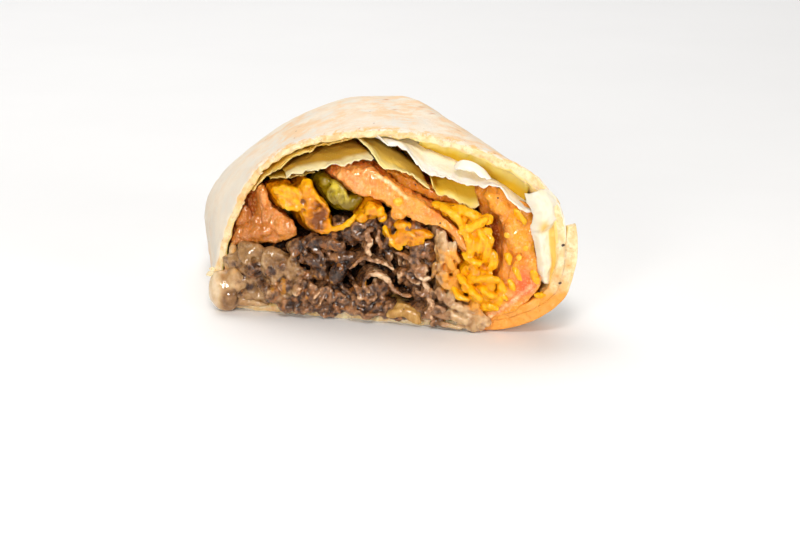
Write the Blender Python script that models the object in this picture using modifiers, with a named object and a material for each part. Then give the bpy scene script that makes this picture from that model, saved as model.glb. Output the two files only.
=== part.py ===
"""Half of a steak and cheese wrap: a folded tortilla tube cut on the bias, lying on its flat side.

Everything is laid out in face coordinates, in mm: u runs to the right along the cut, z up and d back
along the tube, with d = 0 on the cut. place() turns them into the object's frame (metres, +Z up, the
cut towards -Y) and gives the tube its girth, which swells behind the cut and tapers to the folded end.
Fillings that own separate parts of the section therefore stay apart all the way back.
"""
import math
import random

import bmesh
import bpy
import numpy as np

MM = 0.001

# Driving dimensions, mm
CUT_BIAS = math.radians(31)  # between the cut and a square cut
FILLING_END = 58.0  # how far back the fillings run, from the middle of the cut
FOLD_START = 64.0  # where the tube starts to close
TUBE_END = 80.0
FOLD_HEIGHT = 13.0  # height of the closed end's edge
FOLD_PINCH = 0.40  # share of its width that the tube loses at the closed end
SWELL = 0.03  # growth of the section just behind the cut
WIDTH_TAPER = 0.32  # shares of width and height lost on the way back
HEIGHT_TAPER = 0.42
CORNER_DRAW = 8.0  # how far the lower left corner draws in behind the cut
RIGHT_FALL = 12.0  # how far the shoulders fall away behind the cut
LEFT_FALL = 6.3
RIDGE = 2.4  # height of the ridge right of the middle
FLANK_BULGE = 4.1  # how far the left flank stands out behind the cut
STATIONS = (0.25, 0.55, 0.95)  # where every body has a ring, as shares of the way to FILLING_END
LEAF = 0.8  # thickness of lettuce
SHRED = 2.2  # thickness of a grated cheese shred
SLICE = 1.5  # thickness of a shaved steak slice
SLIVER = 0.002  # edges shorter than this are dissolved
CENTRE_X = 0.9  # middle of the object's box before it is moved over the origin
CENTRE_Y = 28.4

# The tortilla's section: outer and inner (u, z) pairs, from the lower left corner over the top. Two
# sheets lie on each other at the lower right, between the flap's free edge and the inner sheet's start.
TORTILLA_SECTION = [
    ((-45.4, 6.6), (-42.6, 7.0)), ((-43.4, 12.5), (-40.8, 12.5)), ((-41.4, 20.5), (-38.9, 20.0)),
    ((-37.6, 29.2), (-35.3, 27.9)), ((-31.4, 36.4), (-29.9, 34.7)), ((-21.8, 42.2), (-20.9, 40.5)),
    ((-11.0, 45.3), (-10.6, 43.1)), ((0.0, 46.7), (0.0, 44.4)), ((10.7, 46.0), (10.2, 43.7)),
    ((20.2, 44.0), (19.2, 41.4)), ((28.6, 41.5), (27.4, 38.4)), ((36.2, 37.2), (34.4, 34.2)),
    ((41.2, 31.4), (38.2, 29.2)), ((43.2, 27.3), (39.8, 25.6)), ((44.9, 25.6), (40.4, 23.8)),
    ((45.4, 18.1), (40.8, 17.2)), ((43.5, 10.9), (39.2, 12.0)), ((38.3, 5.2), (34.8, 7.9)),
    ((30.1, 1.3), (28.0, 4.7)), ((22.0, 0.0), (21.0, 2.8)), ((10.0, 0.0), (10.0, 2.3)),
    ((-6.0, 0.0), (-6.0, 2.2)), ((-20.0, 0.0), (-20.0, 2.2)), ((-34.0, 0.0), (-33.6, 2.3)),
    ((-41.6, 0.8), (-39.9, 2.8)), ((-44.8, 3.4), (-42.2, 4.4)),
]


# ---------------------------------------------------------------- frame and curves

def smooth_step(low, high, value):
    t = np.clip((value - low) / (high - low), 0, 1)
    return t * t * (3 - 2 * t)


def place(point):
    """Face coordinates (u, z, d) in mm to the object's frame in metres."""
    u, z, d = point
    behind = max(d, 0.0)
    # the lower left corner draws in behind the cut
    corner = max(1 - z / 26, 0) ** 1.5 * np.clip((-u - 12) / 33, 0, 1) ** 2
    x = (u + CORNER_DRAW * (1 - math.exp(-behind / 9)) * corner) * math.cos(CUT_BIAS)
    y = d - u * math.sin(CUT_BIAS)
    # the section swells a little, then tapers
    swell = 1 + SWELL * (1 - math.exp(-behind / 12))
    width = swell * (1 - WIDTH_TAPER * np.clip((y + 10) / (TUBE_END + 10), 0, 1) ** 2.2)
    height = swell * (1 - HEIGHT_TAPER * np.clip((y - 30) / (TUBE_END - 30), 0, 1) ** 2)
    # the shoulders fall away, the right one steeply, and a ridge stands right of the middle
    settled = 1 - math.exp(-behind / 25)
    fall = RIGHT_FALL * np.clip((x - 15) / 23, 0, 1) ** 1.2 + LEFT_FALL * np.clip((4 - x) / 30, 0, 1) ** 1.2
    ridge = RIDGE * math.exp(-((x - 19) / 8) ** 2)
    z = (z - (fall - ridge) * settled * z / 46) * height
    # the left flank bulges
    flank = np.clip(-x / 38, 0, 1) ** 2 * np.clip(1 - ((z - 18) / 20) ** 2, 0, 1)
    x = x * width - FLANK_BULGE * flank * (1 - math.exp(-behind / 12))
    # the folded end closes to a flat edge
    fold = np.clip((y - FOLD_START) / (TUBE_END - FOLD_START), 0, 1)
    x *= 1 - FOLD_PINCH * fold ** 2.5
    z = FOLD_HEIGHT + (z - FOLD_HEIGHT) * math.sqrt(1 - 0.98 * fold ** 2)
    return ((x - CENTRE_X) * MM, (y - CENTRE_Y) * MM, z * MM)


def depth_at(u, y):
    """Depth d that brings a point at u to the distance y behind the middle of the cut."""
    return y + u * math.sin(CUT_BIAS)


def catmull(p0, p1, p2, p3, t):
    return 0.5 * (2 * p1 + (p2 - p0) * t + (2 * p0 - 5 * p1 + 4 * p2 - p3) * t ** 2
                  + (3 * p1 - p0 - 3 * p2 + p3) * t ** 3)


def spline(points, per_span, closed=False):
    """Points along a smooth curve through the given ones, per_span for each stretch."""
    p = np.array(points, float)
    if not closed:
        p = np.vstack([2 * p[0] - p[1], p, 2 * p[-1] - p[-2]])
    count = len(p) if closed else len(p) - 3
    start = 0 if closed else 1
    curve = [
        catmull(p[(start + i - 1) % len(p)], p[(start + i) % len(p)],
                p[(start + i + 1) % len(p)], p[(start + i + 2) % len(p)], k / per_span)
        for i in range(count)
        for k in range(per_span)
    ]
    if not closed:
        curve.append(p[-2])
    return np.array(curve)


def inset(outline, amount):
    """A closed (u, z) outline moved inwards by amount along its normals."""
    tangent = np.roll(outline, -1, 0) - np.roll(outline, 1, 0)
    normal = np.stack([tangent[:, 1], -tangent[:, 0]], -1)
    normal /= np.linalg.norm(normal, axis=1)[:, None]
    area = np.sum(outline[:, 0] * np.roll(outline[:, 1], -1) - np.roll(outline[:, 0], -1) * outline[:, 1])
    return outline - amount * normal * (1 if area > 0 else -1)


# ---------------------------------------------------------------- meshes

def material(name, colour, roughness):
    mat = bpy.data.materials.new(name)
    mat.use_nodes = True
    shader = mat.node_tree.nodes["Principled BSDF"]
    shader.inputs["Base Color"].default_value = (*colour, 1)
    shader.inputs["Roughness"].default_value = roughness
    shader.inputs["Metallic"].default_value = 0.0
    return mat


def add_object(name, bm, mat, collection):
    bmesh.ops.recalc_face_normals(bm, faces=bm.faces)
    if bm.calc_volume(signed=True) < 0:
        bmesh.ops.reverse_faces(bm, faces=bm.faces)
    mesh = bpy.data.meshes.new(name)
    bm.to_mesh(mesh)
    bm.free()
    mesh.materials.append(mat)
    mesh.shade_smooth()
    mesh.set_sharp_from_angle(angle=math.radians(40))
    obj = bpy.data.objects.new(name, mesh)
    collection.objects.link(obj)
    return obj


def loft(rings):
    """A closed body through rings of (u, z, d) points, capped at both ends."""
    bm = bmesh.new()
    rows = [[bm.verts.new(place(p)) for p in ring] for ring in rings]
    for near, far in zip(rows, rows[1:]):
        for i in range(len(near)):
            j = (i + 1) % len(near)
            bm.faces.new((near[i], near[j], far[j], far[i]))
    for cap in (rows[0], rows[-1]):
        bm.faces.new(cap)
    bmesh.ops.triangulate(bm, faces=bm.faces)
    return bm


def ring_at(outline, depth):
    return [(u, z, depth) for u, z in outline]


def ring_back(outline, share):
    """The outline at the given share of the way from the cut to the fillings' end."""
    return [(u, z, share * depth_at(u, FILLING_END)) for u, z in outline]


def filling_rings(points, front, deep=None, rounding=1.0, droop=0.0):
    """Rings of a filling that shows its section at the cut and runs back through the food.

    front is the depth of its cut face, deep its section further in, rounding the softness of the cut
    edge, and droop how far its front sags where it stands out of the cut.
    """
    face = np.array(points, float)
    inner = np.array(deep or points, float)
    rings = [
        ring_at(inset(face, rounding), front),
        ring_at(inset(face, rounding * 0.35), front + rounding * 0.4),
        ring_at(face, front + rounding),
    ]
    for ring in rings[:2]:
        ring[:] = [(u, z - droop, d) for u, z, d in ring]
    rings.append(ring_at(inner, max(front + rounding, 0) + 2.0))
    rings += [ring_back(inner, share) for share in STATIONS]
    rings.append(ring_back(inset(inner, 0.8), 1.0))
    return rings


def filling(name, points, front, mat, collection, **shape):
    return add_object(name, loft(filling_rings(points, front, **shape)), mat, collection)


def leaf(name, edge, inner, mat, collection, wave=0.25, settle=9.0, runs_back=True, seed=0):
    """A thin wavy sheet from its cut edge, (u, z, d) points, back along the tube.

    inner is its (u, z) path further in, reached settle mm behind the cut edge, and wave is how much it
    ripples. A sheet that doesn't run back ends there.
    """
    rng = random.Random(seed)
    front = spline(edge, 1 if len(edge) > 6 else 2)
    path = spline(inner, 1 if len(inner) > 6 else 2)
    phase = rng.uniform(0, 6)
    shares = (0.0, 0.25, 0.6, 1.0)
    rows = []
    for share in shares:
        blend = share ** 0.8
        row = []
        for i, ((u0, z0, d0), (u1, z1)) in enumerate(zip(front, path)):
            ripple = wave * math.sin(phase + i * 1.9 + share * 4) * (1 - share)
            row.append((u0 + (u1 - u0) * blend, z0 + (z1 - z0) * blend + ripple, d0 + share * settle))
        rows.append(row)
    if runs_back:
        rows += [ring_back(path, share) for share in STATIONS if share > STATIONS[0]]
    bm = bmesh.new()
    grid = [[bm.verts.new(place(p)) for p in row] for row in rows]
    for near, far in zip(grid, grid[1:]):
        for i in range(len(near) - 1):
            bm.faces.new((near[i], near[i + 1], far[i + 1], far[i]))
    bmesh.ops.triangulate(bm, faces=bm.faces, quad_method="FIXED")
    obj = add_object(name, bm, mat, collection)
    solid = obj.modifiers.new("thickness", "SOLIDIFY")
    solid.thickness = LEAF * MM
    solid.offset = 0
    return obj


def strip(path, front, back, thickness):
    """Loft of a curled slice: its (u, z) path, thickened and run from front to back depth."""
    p = np.array(path, float)
    tangent = np.gradient(p, axis=0)
    normal = np.stack([-tangent[:, 1], tangent[:, 0]], -1)
    normal /= np.linalg.norm(normal, axis=1)[:, None]
    taper = np.ones(len(p))
    taper[0] = taper[-1] = 0.55
    half = normal * (thickness / 2 * taper)[:, None]
    outline = np.vstack([p + half, (p - half)[::-1]])
    rings = []
    for share, shrink in ((0.0, 0.22), (0.12, 0.0), (1.0, 0.0)):
        depth = front + (back - front) * share
        body = inset(outline, thickness * shrink)
        rings.append([(u, z, depth + 0.35 * math.sin(u * 1.3 + z)) for u, z in body])
    return loft(rings)


def nugget(centre, radii, seed):
    """A lumpy piece: an icosphere pushed in and out."""
    rng = random.Random(seed)
    bm = bmesh.new()
    bmesh.ops.create_icosphere(bm, subdivisions=1, radius=1.0)
    for vert in bm.verts:
        push = rng.uniform(0.80, 1.0)
        u, d, z = (vert.co[k] * push for k in range(3))
        vert.co = place((centre[0] + u * radii[0], centre[1] + z * radii[1], centre[2] + d * radii[2]))
    return bm


def shred(path, thickness):
    """A cheese shred: a curve with a round bevel through (u, z, d) points, as a mesh."""
    curve = bpy.data.curves.new("shred", "CURVE")
    curve.dimensions = "3D"
    curve.bevel_depth = thickness / 2 * MM
    curve.bevel_resolution = 1
    curve.use_fill_caps = True
    line = curve.splines.new("POLY")
    points = spline(path, 2)
    line.points.add(len(points) - 1)
    for point, at in zip(line.points, points):
        point.co = (*place(at), 1)
    carrier = bpy.data.objects.new("shred", curve)
    bpy.context.scene.collection.objects.link(carrier)
    bpy.context.view_layer.update()
    solid = carrier.evaluated_get(bpy.context.evaluated_depsgraph_get())
    bm = bmesh.new()
    bm.from_mesh(bpy.data.meshes.new_from_object(solid))
    bmesh.ops.remove_doubles(bm, verts=bm.verts, dist=0.00001)
    bpy.data.objects.remove(carrier)
    return bm


def fuse(name, bodies, mat, collection):
    """One solid from bodies that overlap: a single union on a collection of the others."""
    others = bpy.data.collections.new(f"{name}_pieces")
    bpy.context.scene.collection.children.link(others)
    base = add_object(name, bodies[0], mat, collection)
    pieces = [add_object(f"{name}_piece", bm, mat, others) for bm in bodies[1:]]
    join = base.modifiers.new("join", "BOOLEAN")
    join.operation = "UNION"
    join.operand_type = "COLLECTION"
    join.collection = others
    join.solver = "MANIFOLD"
    bpy.context.view_layer.update()
    joined = base.evaluated_get(bpy.context.evaluated_depsgraph_get())
    mesh = bpy.data.meshes.new_from_object(joined)
    base.modifiers.clear()
    base.data = mesh
    keep_largest(mesh)
    for piece in pieces:
        bpy.data.objects.remove(piece)
    bpy.data.collections.remove(others)
    return base


def keep_largest(mesh):
    """Drops the slivers, loose scraps and sealed hollows that a union leaves."""
    bm = bmesh.new()
    bm.from_mesh(mesh)
    bmesh.ops.triangulate(bm, faces=bm.faces)
    bmesh.ops.dissolve_degenerate(bm, dist=SLIVER * MM, edges=bm.edges)
    unseen = set(bm.verts)
    groups = []
    while unseen:
        stack = [unseen.pop()]
        group = set(stack)
        while stack:
            for edge in stack.pop().link_edges:
                for vert in edge.verts:
                    if vert in unseen:
                        unseen.remove(vert)
                        group.add(vert)
                        stack.append(vert)
        groups.append(group)
    groups.sort(key=len, reverse=True)
    scraps = [vert for group in groups[1:] for vert in group]
    bmesh.ops.delete(bm, geom=scraps, context="VERTS")
    bm.to_mesh(mesh)
    bm.free()


# ---------------------------------------------------------------- tortilla

def tortilla(collection):
    mat = material("tortilla", (0.86, 0.68, 0.42), 0.75)
    outer = spline([pair[0] for pair in TORTILLA_SECTION], 2, closed=True)
    outer[:, 1] = np.maximum(outer[:, 1], 0)
    inner = spline([pair[1] for pair in TORTILLA_SECTION], 2, closed=True)
    middle = (outer + inner) / 2

    def ripple(i, depth):
        """Slow bumps of the baked sheet, none on its flat underside."""
        u, z = outer[i]
        high = smooth_step(2, 12, z) * smooth_step(3, 14, depth)
        return 0.35 * high * math.sin(i * 0.9 + depth * 0.16) * math.cos(i * 0.37 - depth * 0.11)

    def outer_ring(share):
        ring = []
        for i, (u, z) in enumerate(outer):
            depth = share * depth_at(u, FOLD_START)
            out = (outer[i] - middle[i]) / np.linalg.norm(outer[i] - middle[i])
            u, z = outer[i] + out * ripple(i, depth)
            ring.append((u, z, depth))
        return ring

    def fold_ring(y):
        """A ring of the closing end, with pleats."""
        ring = []
        share = (y - FOLD_START) / (TUBE_END - FOLD_START)
        for i, (u, z) in enumerate(outer):
            pleat = 1 - 0.05 * share * math.cos(i * 1.1) * smooth_step(2, 12, z)
            ring.append((u * pleat, z * pleat, depth_at(u * pleat, y)))
        return ring

    rings = [fold_ring(y) for y in (TUBE_END, 79.3, 77.5, 74.5, 70.0)]
    rings += [outer_ring(share) for share in (1.0, 0.82, 0.64, 0.46, 0.30, 0.16, 0.06)]
    rings.append(ring_at(outer, 0.8))
    rings.append(ring_at(outer + (middle - outer) * 0.25, 0.0))
    rings.append(ring_at(inner + (middle - inner) * 0.25, 0.0))
    rings.append(ring_at(inner, 0.8))
    rings.append(ring_at(inner, 4.0))
    rings += [ring_back(inner, share) for share in (*STATIONS, 1.0)]
    rings.append([(u, z, depth_at(u, FILLING_END + 2)) for u, z in inset(inner, 0.6)])
    rings.append([(u, z, depth_at(u, FILLING_END + 4)) for u, z in inset(inner, 5.0)])
    return add_object("tortilla", loft(rings), mat, collection)


# ---------------------------------------------------------------- steak

STEAK_SECTION = [
    (-41.2, 4.4), (-40.4, 10.0), (-38.9, 14.3), (-34.5, 15.5), (-30.0, 15.6), (-26.0, 16.5),
    (-21.5, 17.8), (-19.8, 19.1), (-17.2, 19.1), (-14.4, 20.2), (-12.2, 21.4), (-10.2, 23.4),
    (-8.2, 24.2), (-5.0, 23.2), (-2.2, 23.7), (-0.2, 25.1), (1.6, 25.7), (4.0, 25.2), (7.0, 23.7),
    (10.0, 23.0), (11.2, 22.0), (11.0, 19.0), (11.4, 14.5), (11.2, 10.0), (10.4, 7.2), (8.8, 6.4),
    (6.8, 6.5), (4.6, 6.9), (2.2, 6.8), (-0.3, 5.0), (-4.4, 4.4), (-6.2, 3.0), (-14.0, 2.9),
    (-22.0, 2.9), (-33.2, 3.0), (-39.0, 3.5),
]
STEAK_CENTRE = np.array((-14.0, 10.5))
# curled slices: (u, z) path, front depth
STEAK_SLICES = [
    ([(-9.7, 11.8), (-9.4, 13.9), (-7.0, 15.2), (-4.0, 15.7), (-1.4, 15.4), (0.6, 14.4), (2.4, 13.4)], -3.0),
    ([(-5.3, 7.6), (-5.6, 10.0), (-4.4, 12.0), (-1.8, 12.8), (0.4, 12.0), (2.2, 9.6), (3.6, 8.0),
      (5.6, 7.6)], -3.6),
    ([(-4.3, 23.8), (-4.5, 22.2), (-3.9, 20.2), (-4.6, 18.2), (-4.4, 16.4)], -3.4),
    ([(-8.6, 23.8), (-8.2, 21.6), (-7.2, 19.8), (-6.0, 20.6), (-5.6, 22.6)], -2.2),
    ([(-1.9, 23.4), (-1.9, 20.9), (-0.9, 18.8), (0.2, 19.8), (0.0, 22.4)], -2.8),
    ([(1.0, 17.6), (3.2, 17.0), (5.4, 16.0), (6.2, 14.2), (4.6, 12.8)], -1.8),
    ([(6.4, 17.2), (7.2, 14.9), (6.6, 13.0), (8.4, 11.8), (10.0, 12.6)], -2.6),
    ([(8.0, 10.9), (9.6, 9.6), (8.0, 8.2), (6.6, 9.2)], -2.8),
    ([(3.0, 21.6), (5.4, 20.8), (8.0, 21.2), (10.0, 20.0)], -1.4),
    ([(-21.0, 18.4), (-18.4, 17.0), (-17.0, 14.8), (-14.6, 14.2), (-12.6, 15.6)], -1.6),
    ([(-16.0, 17.8), (-13.0, 17.6), (-10.6, 18.8), (-9.0, 17.4)], -1.0),
    ([(-22.6, 14.6), (-20.2, 12.8), (-17.2, 11.2), (-14.8, 10.6)], -1.8),
    ([(-13.6, 12.4), (-12.2, 10.2), (-11.2, 8.0), (-9.4, 7.6)], -1.6),
    ([(-19.8, 8.8), (-17.4, 7.2), (-15.2, 7.8), (-13.6, 5.8), (-15.4, 4.4)], -3.2),
    ([(-25.6, 8.8), (-26.0, 6.4), (-24.6, 4.6), (-23.0, 6.4), (-23.4, 9.0), (-21.4, 10.0)], -3.4),
    ([(-30.6, 12.8), (-28.2, 11.4), (-26.4, 12.4), (-24.4, 11.2)], -2.4),
    ([(-36.6, 11.6), (-34.4, 9.4), (-32.2, 10.4), (-30.6, 8.6)], -2.2),
    ([(-38.6, 12.8), (-36.4, 14.2), (-33.6, 14.0), (-31.4, 14.6)], -2.0),
    ([(-33.4, 6.8), (-31.0, 5.4), (-29.0, 6.4), (-27.8, 4.6)], -2.6),
    ([(-8.2, 9.6), (-6.8, 6.8), (-7.8, 5.0), (-5.8, 4.2)], -2.4),
    ([(-3.6, 8.4), (-2.0, 6.8), (-0.4, 8.4), (0.6, 6.6)], -3.0),
]
# lumps that hang over the tortilla's edge: centre (u, z, d), radii (u, z, d)
STEAK_LUMPS = [
    ((-10.6, 4.6, -1.9), (2.6, 3.2, 1.9)), ((-6.2, 3.4, -1.9), (2.8, 2.4, 1.6)),
    ((0.6, 6.4, -1.0), (1.8, 2.4, 2.8)), ((-14.2, 3.4, -1.9), (2.2, 2.6, 1.7)),
    ((-17.6, 4.1, -2.0), (2.8, 3.2, 1.9)), ((-22.4, 3.6, -2.1), (3.2, 3.0, 1.9)),
    ((-27.2, 4.0, -1.9), (3.0, 3.0, 1.8)), ((-32.6, 4.4, -1.9), (3.6, 3.2, 1.8)),
    ((9.6, 5.2, -1.9), (2.0, 3.2, 1.7)), ((-35.0, 11.0, 0.0), (2.6, 2.4, 2.6)),
    ((-2.6, 5.0, -1.7), (2.0, 2.0, 1.6)),
]
STEAK_FACE = 3.0  # depth of the bare heap between the slices


def steak_heap():
    """The heap behind the slices, its lumpy face built of rings that shrink to the middle."""
    outline = np.array(STEAK_SECTION)
    rings = []
    for share in (0.12, 0.4, 0.68, 0.9):
        ring = STEAK_CENTRE + (outline - STEAK_CENTRE) * share
        rings.append([(u, z, STEAK_FACE - 0.4 + 0.7 * math.sin(u * 0.9 + z * 0.6)) for u, z in ring])
    rings.append(ring_at(outline, STEAK_FACE + 1.2))
    rings += [ring_back(outline, share) for share in STATIONS]
    rings.append(ring_back(inset(outline, 0.8), 1.0))
    return loft(rings)


def steak(collection):
    mat = material("steak", (0.17, 0.09, 0.055), 0.6)
    bodies = [steak_heap()]
    rng = random.Random(4)
    for path, front in STEAK_SLICES:
        back = STEAK_FACE + rng.uniform(2.0, 3.0)
        bodies.append(strip(path, front, back, SLICE * rng.uniform(0.85, 1.15)))
    for k, (centre, radii) in enumerate(STEAK_LUMPS):
        bodies.append(nugget(centre, radii, k + 20))
    return fuse("steak", bodies, mat, collection)


# ---------------------------------------------------------------- cheese

def melted_cheese(collection):
    mat = material("melted_cheese", (0.62, 0.50, 0.36), 0.3)
    corner = [
        (-46.0, 6.8), (-44.9, 9.0), (-42.4, 10.3), (-39.8, 9.8), (-38.3, 7.6), (-37.8, 4.6),
        (-38.2, 2.2), (-40.6, 0.9), (-43.4, 1.3), (-45.4, 3.4),
    ]
    face = spline(corner, 2, closed=True)
    rings = [
        ring_at(inset(face, shrink), depth)
        for shrink, depth in ((3.0, -3.6), (1.7, -3.2), (0.6, -2.3), (0.0, -1.3), (0.5, -0.5))
    ]
    add_object("melted_cheese_corner", loft(rings), mat, collection)
    stream = [
        (12.3, 23.2), (13.8, 22.9), (15.0, 21.9), (15.5, 20.6), (16.9, 18.7), (17.9, 17.1),
        (16.4, 14.2), (14.7, 12.4), (15.4, 10.2), (18.2, 8.0), (21.4, 7.0), (23.0, 6.0), (22.9, 4.7),
        (20.6, 3.9), (16.0, 3.2), (11.5, 3.1), (11.3, 6.0), (12.3, 10.0), (12.5, 14.5), (12.1, 19.0),
    ]
    filling("melted_cheese_right", stream, -1.4, mat, collection, rounding=0.8, droop=2.2)


CHEDDAR_RIGHT_SECTION = [
    (13.9, 27.8), (16.0, 28.3), (19.5, 27.9), (22.3, 26.7), (23.8, 24.0), (24.9, 20.5), (25.2, 16.8),
    (25.0, 13.0), (23.6, 9.8), (21.4, 8.6), (18.8, 9.4), (16.9, 11.6), (17.6, 13.8), (19.6, 17.0),
    (20.8, 19.4), (19.4, 22.6), (17.2, 25.4),
]
# (u, z, d) points of the shreds that stand out of the cut
CHEDDAR_RIGHT_SHREDS = [
    [(14.6, 27.6, 2.0), (17.6, 28.4, -1.0), (20.6, 27.0, -2.0), (23.0, 27.4, -0.6)],
    [(17.8, 26.4, 1.5), (19.6, 25.4, -1.8), (21.4, 23.6, -2.6), (22.4, 21.4, 0.5)],
    [(20.4, 24.6, 1.5), (21.2, 22.6, -1.6), (21.6, 20.0, -2.6), (21.9, 17.6, 0.0)],
    [(22.0, 24.2, 2.0), (23.6, 21.8, -1.2), (24.6, 19.0, -2.2), (24.4, 16.2, 0.5)],
    [(21.2, 18.8, 1.0), (21.6, 17.2, -2.2), (22.8, 15.4, -3.0), (24.4, 14.6, -0.5)],
    [(18.6, 15.2, 1.5), (20.8, 15.6, -2.0), (23.0, 17.4, -2.6), (24.6, 18.6, 1.0)],
    [(17.4, 12.6, 1.0), (20.0, 13.4, -2.6), (23.0, 13.2, -3.2), (25.8, 12.6, -1.4)],
    [(16.8, 11.8, 1.0), (18.2, 10.0, -2.2), (20.2, 9.2, -2.8), (22.6, 9.8, 0.0)],
    [(19.0, 12.0, 1.0), (21.0, 11.0, -2.4), (23.2, 10.8, -2.2), (24.8, 11.4, 1.0)],
]


def cheddar(collection):
    mat = material("cheddar", (0.90, 0.47, 0.06), 0.45)
    left = [
        (-28.4, 30.0), (-27.0, 30.9), (-24.0, 31.6), (-21.8, 30.9), (-20.4, 32.4), (-19.2, 32.8),
        (-17.9, 31.4), (-17.0, 30.0), (-15.7, 28.0), (-14.3, 26.2), (-13.3, 24.6), (-13.0, 22.8),
        (-14.3, 21.7), (-16.8, 20.8), (-18.6, 21.2), (-20.2, 22.7), (-21.2, 25.0), (-21.8, 26.8),
        (-23.4, 26.0), (-24.6, 25.8), (-26.0, 26.5), (-27.3, 27.9),
    ]
    strand = shred([(-15.0, 22.6, 0.5), (-12.6, 22.9, -1.4), (-10.4, 23.7, -1.9), (-8.6, 25.4, -1.6)], 1.3)
    knob = nugget((-19.6, 31.6, -0.8), (1.5, 2.0, 1.8), 3)
    lobe = nugget((-24.4, 28.6, -0.6), (3.4, 2.3, 1.9), 5)
    drop = nugget((-18.0, 23.6, -0.6), (2.4, 2.4, 2.0), 7)
    bodies = [loft(filling_rings(left, 0.2, rounding=0.8)), strand, knob, lobe, drop]
    fuse("cheddar_left", bodies, mat, collection)

    middle = [
        (-6.5, 26.2), (-5.1, 27.8), (-4.1, 29.0), (-2.3, 28.6), (-0.9, 27.8), (-0.9, 26.6),
        (-2.4, 25.3), (-4.8, 24.6), (-6.5, 25.2),
    ]
    filling("cheddar_middle", middle, -1.8, mat, collection, rounding=1.0)

    core = loft(filling_rings(CHEDDAR_RIGHT_SECTION, 0.2, rounding=1.2))
    shreds = [shred(path, SHRED) for path in CHEDDAR_RIGHT_SHREDS]
    fuse("cheddar_right", [core, *shreds], mat, collection)


# ---------------------------------------------------------------- vegetables

def tomatoes(collection):
    mat = material("tomato", (0.82, 0.26, 0.10), 0.3)
    left = [
        (-38.4, 16.0), (-38.2, 18.5), (-36.4, 21.6), (-33.4, 23.2), (-32.0, 26.0), (-31.9, 29.0),
        (-30.8, 30.4), (-29.7, 30.4), (-29.2, 28.9), (-28.4, 26.6), (-26.6, 25.2), (-24.8, 24.2),
        (-23.1, 22.5), (-22.0, 20.5), (-21.9, 19.4), (-25.5, 18.0), (-30.0, 16.9), (-34.0, 16.8),
    ]
    left_deep = [
        (-38.4, 16.0), (-38.2, 18.5), (-37.2, 22.4), (-36.0, 25.0), (-34.2, 27.8), (-32.0, 29.6),
        (-30.8, 30.4), (-29.7, 30.4), (-29.2, 28.9), (-28.4, 26.6), (-26.6, 25.2), (-24.8, 24.2),
        (-23.1, 22.5), (-22.0, 20.5), (-21.9, 19.4), (-25.5, 18.0), (-30.0, 16.9), (-34.0, 16.8),
    ]
    filling("tomato_left", left, -0.6, mat, collection, deep=left_deep)
    front = [
        (-12.6, 34.9), (-11.4, 36.0), (-9.0, 36.7), (-6.0, 37.0), (-3.0, 36.6), (0.0, 35.2),
        (2.0, 33.4), (4.0, 31.6), (8.0, 30.0), (10.0, 28.9), (13.0, 27.1), (16.0, 24.8), (18.0, 22.3),
        (19.2, 20.2), (19.4, 19.2), (18.2, 19.5), (16.5, 21.5), (16.0, 22.7), (14.5, 24.0),
        (12.5, 24.8), (10.0, 24.7), (8.0, 25.3), (6.0, 26.1), (4.0, 27.0), (2.0, 27.7), (0.0, 29.0),
        (-2.0, 30.5), (-4.5, 30.6), (-7.0, 30.9), (-9.3, 32.2), (-11.3, 34.0),
    ]
    filling("tomato_front", front, -2.4, mat, collection)
    behind = [
        (1.1, 35.9), (4.0, 35.2), (8.0, 33.4), (12.0, 31.5), (16.0, 30.5), (20.0, 30.0), (22.4, 29.7),
        (22.6, 28.9), (20.0, 28.8), (16.0, 29.2), (12.6, 29.7), (8.4, 31.0), (4.9, 32.4), (3.3, 33.8),
        (1.6, 35.2),
    ]
    filling("tomato_behind", behind, 4.0, mat, collection, rounding=0.5)
    right = [
        (23.7, 31.9), (25.5, 32.2), (28.0, 30.9), (30.0, 29.1), (32.4, 26.9), (34.3, 24.4),
        (35.7, 21.0), (36.3, 17.0), (36.0, 13.4), (34.0, 10.7), (31.0, 8.1), (27.8, 6.6), (25.0, 5.6),
        (24.1, 6.6), (25.2, 8.4), (26.5, 9.8), (27.4, 12.0), (28.4, 15.5), (28.8, 21.0), (28.2, 25.0),
        (26.6, 28.4), (24.6, 30.8),
    ]
    right_deep = [
        (23.7, 31.9), (25.5, 32.2), (28.0, 30.9), (30.0, 29.1), (32.4, 26.9), (34.3, 24.4),
        (35.7, 21.0), (36.3, 17.0), (36.0, 13.4), (34.0, 10.7), (31.0, 8.1), (27.8, 6.6), (25.0, 5.6),
        (24.1, 6.6), (25.2, 8.4), (26.5, 9.8), (27.0, 12.0), (26.6, 15.5), (26.6, 20.5), (25.8, 23.6),
        (24.6, 26.4), (24.0, 29.6),
    ]
    filling("tomato_right", right, 1.6, mat, collection, deep=right_deep)


def pepper_and_onion(collection):
    green = material("green_pepper", (0.42, 0.40, 0.03), 0.35)
    pepper = [
        (-16.2, 32.2), (-14.6, 33.7), (-12.9, 33.2), (-10.5, 31.0), (-7.4, 29.6), (-5.8, 28.8),
        (-6.3, 28.0), (-8.0, 26.8), (-10.5, 26.1), (-12.8, 27.3), (-14.4, 29.2), (-15.7, 31.0),
    ]
    filling("green_pepper", pepper, 0.0, green, collection, rounding=1.2)
    amber = material("onion", (0.62, 0.45, 0.18), 0.35)
    onion = [
        (-4.2, 3.1), (-3.8, 3.5), (0.2, 3.7), (2.6, 5.5), (4.3, 5.6), (6.5, 4.6), (8.2, 3.2), (5.0, 3.0),
        (1.0, 3.0),
    ]
    filling("onion", onion, -1.6, amber, collection, rounding=0.4, droop=2.0)


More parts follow.
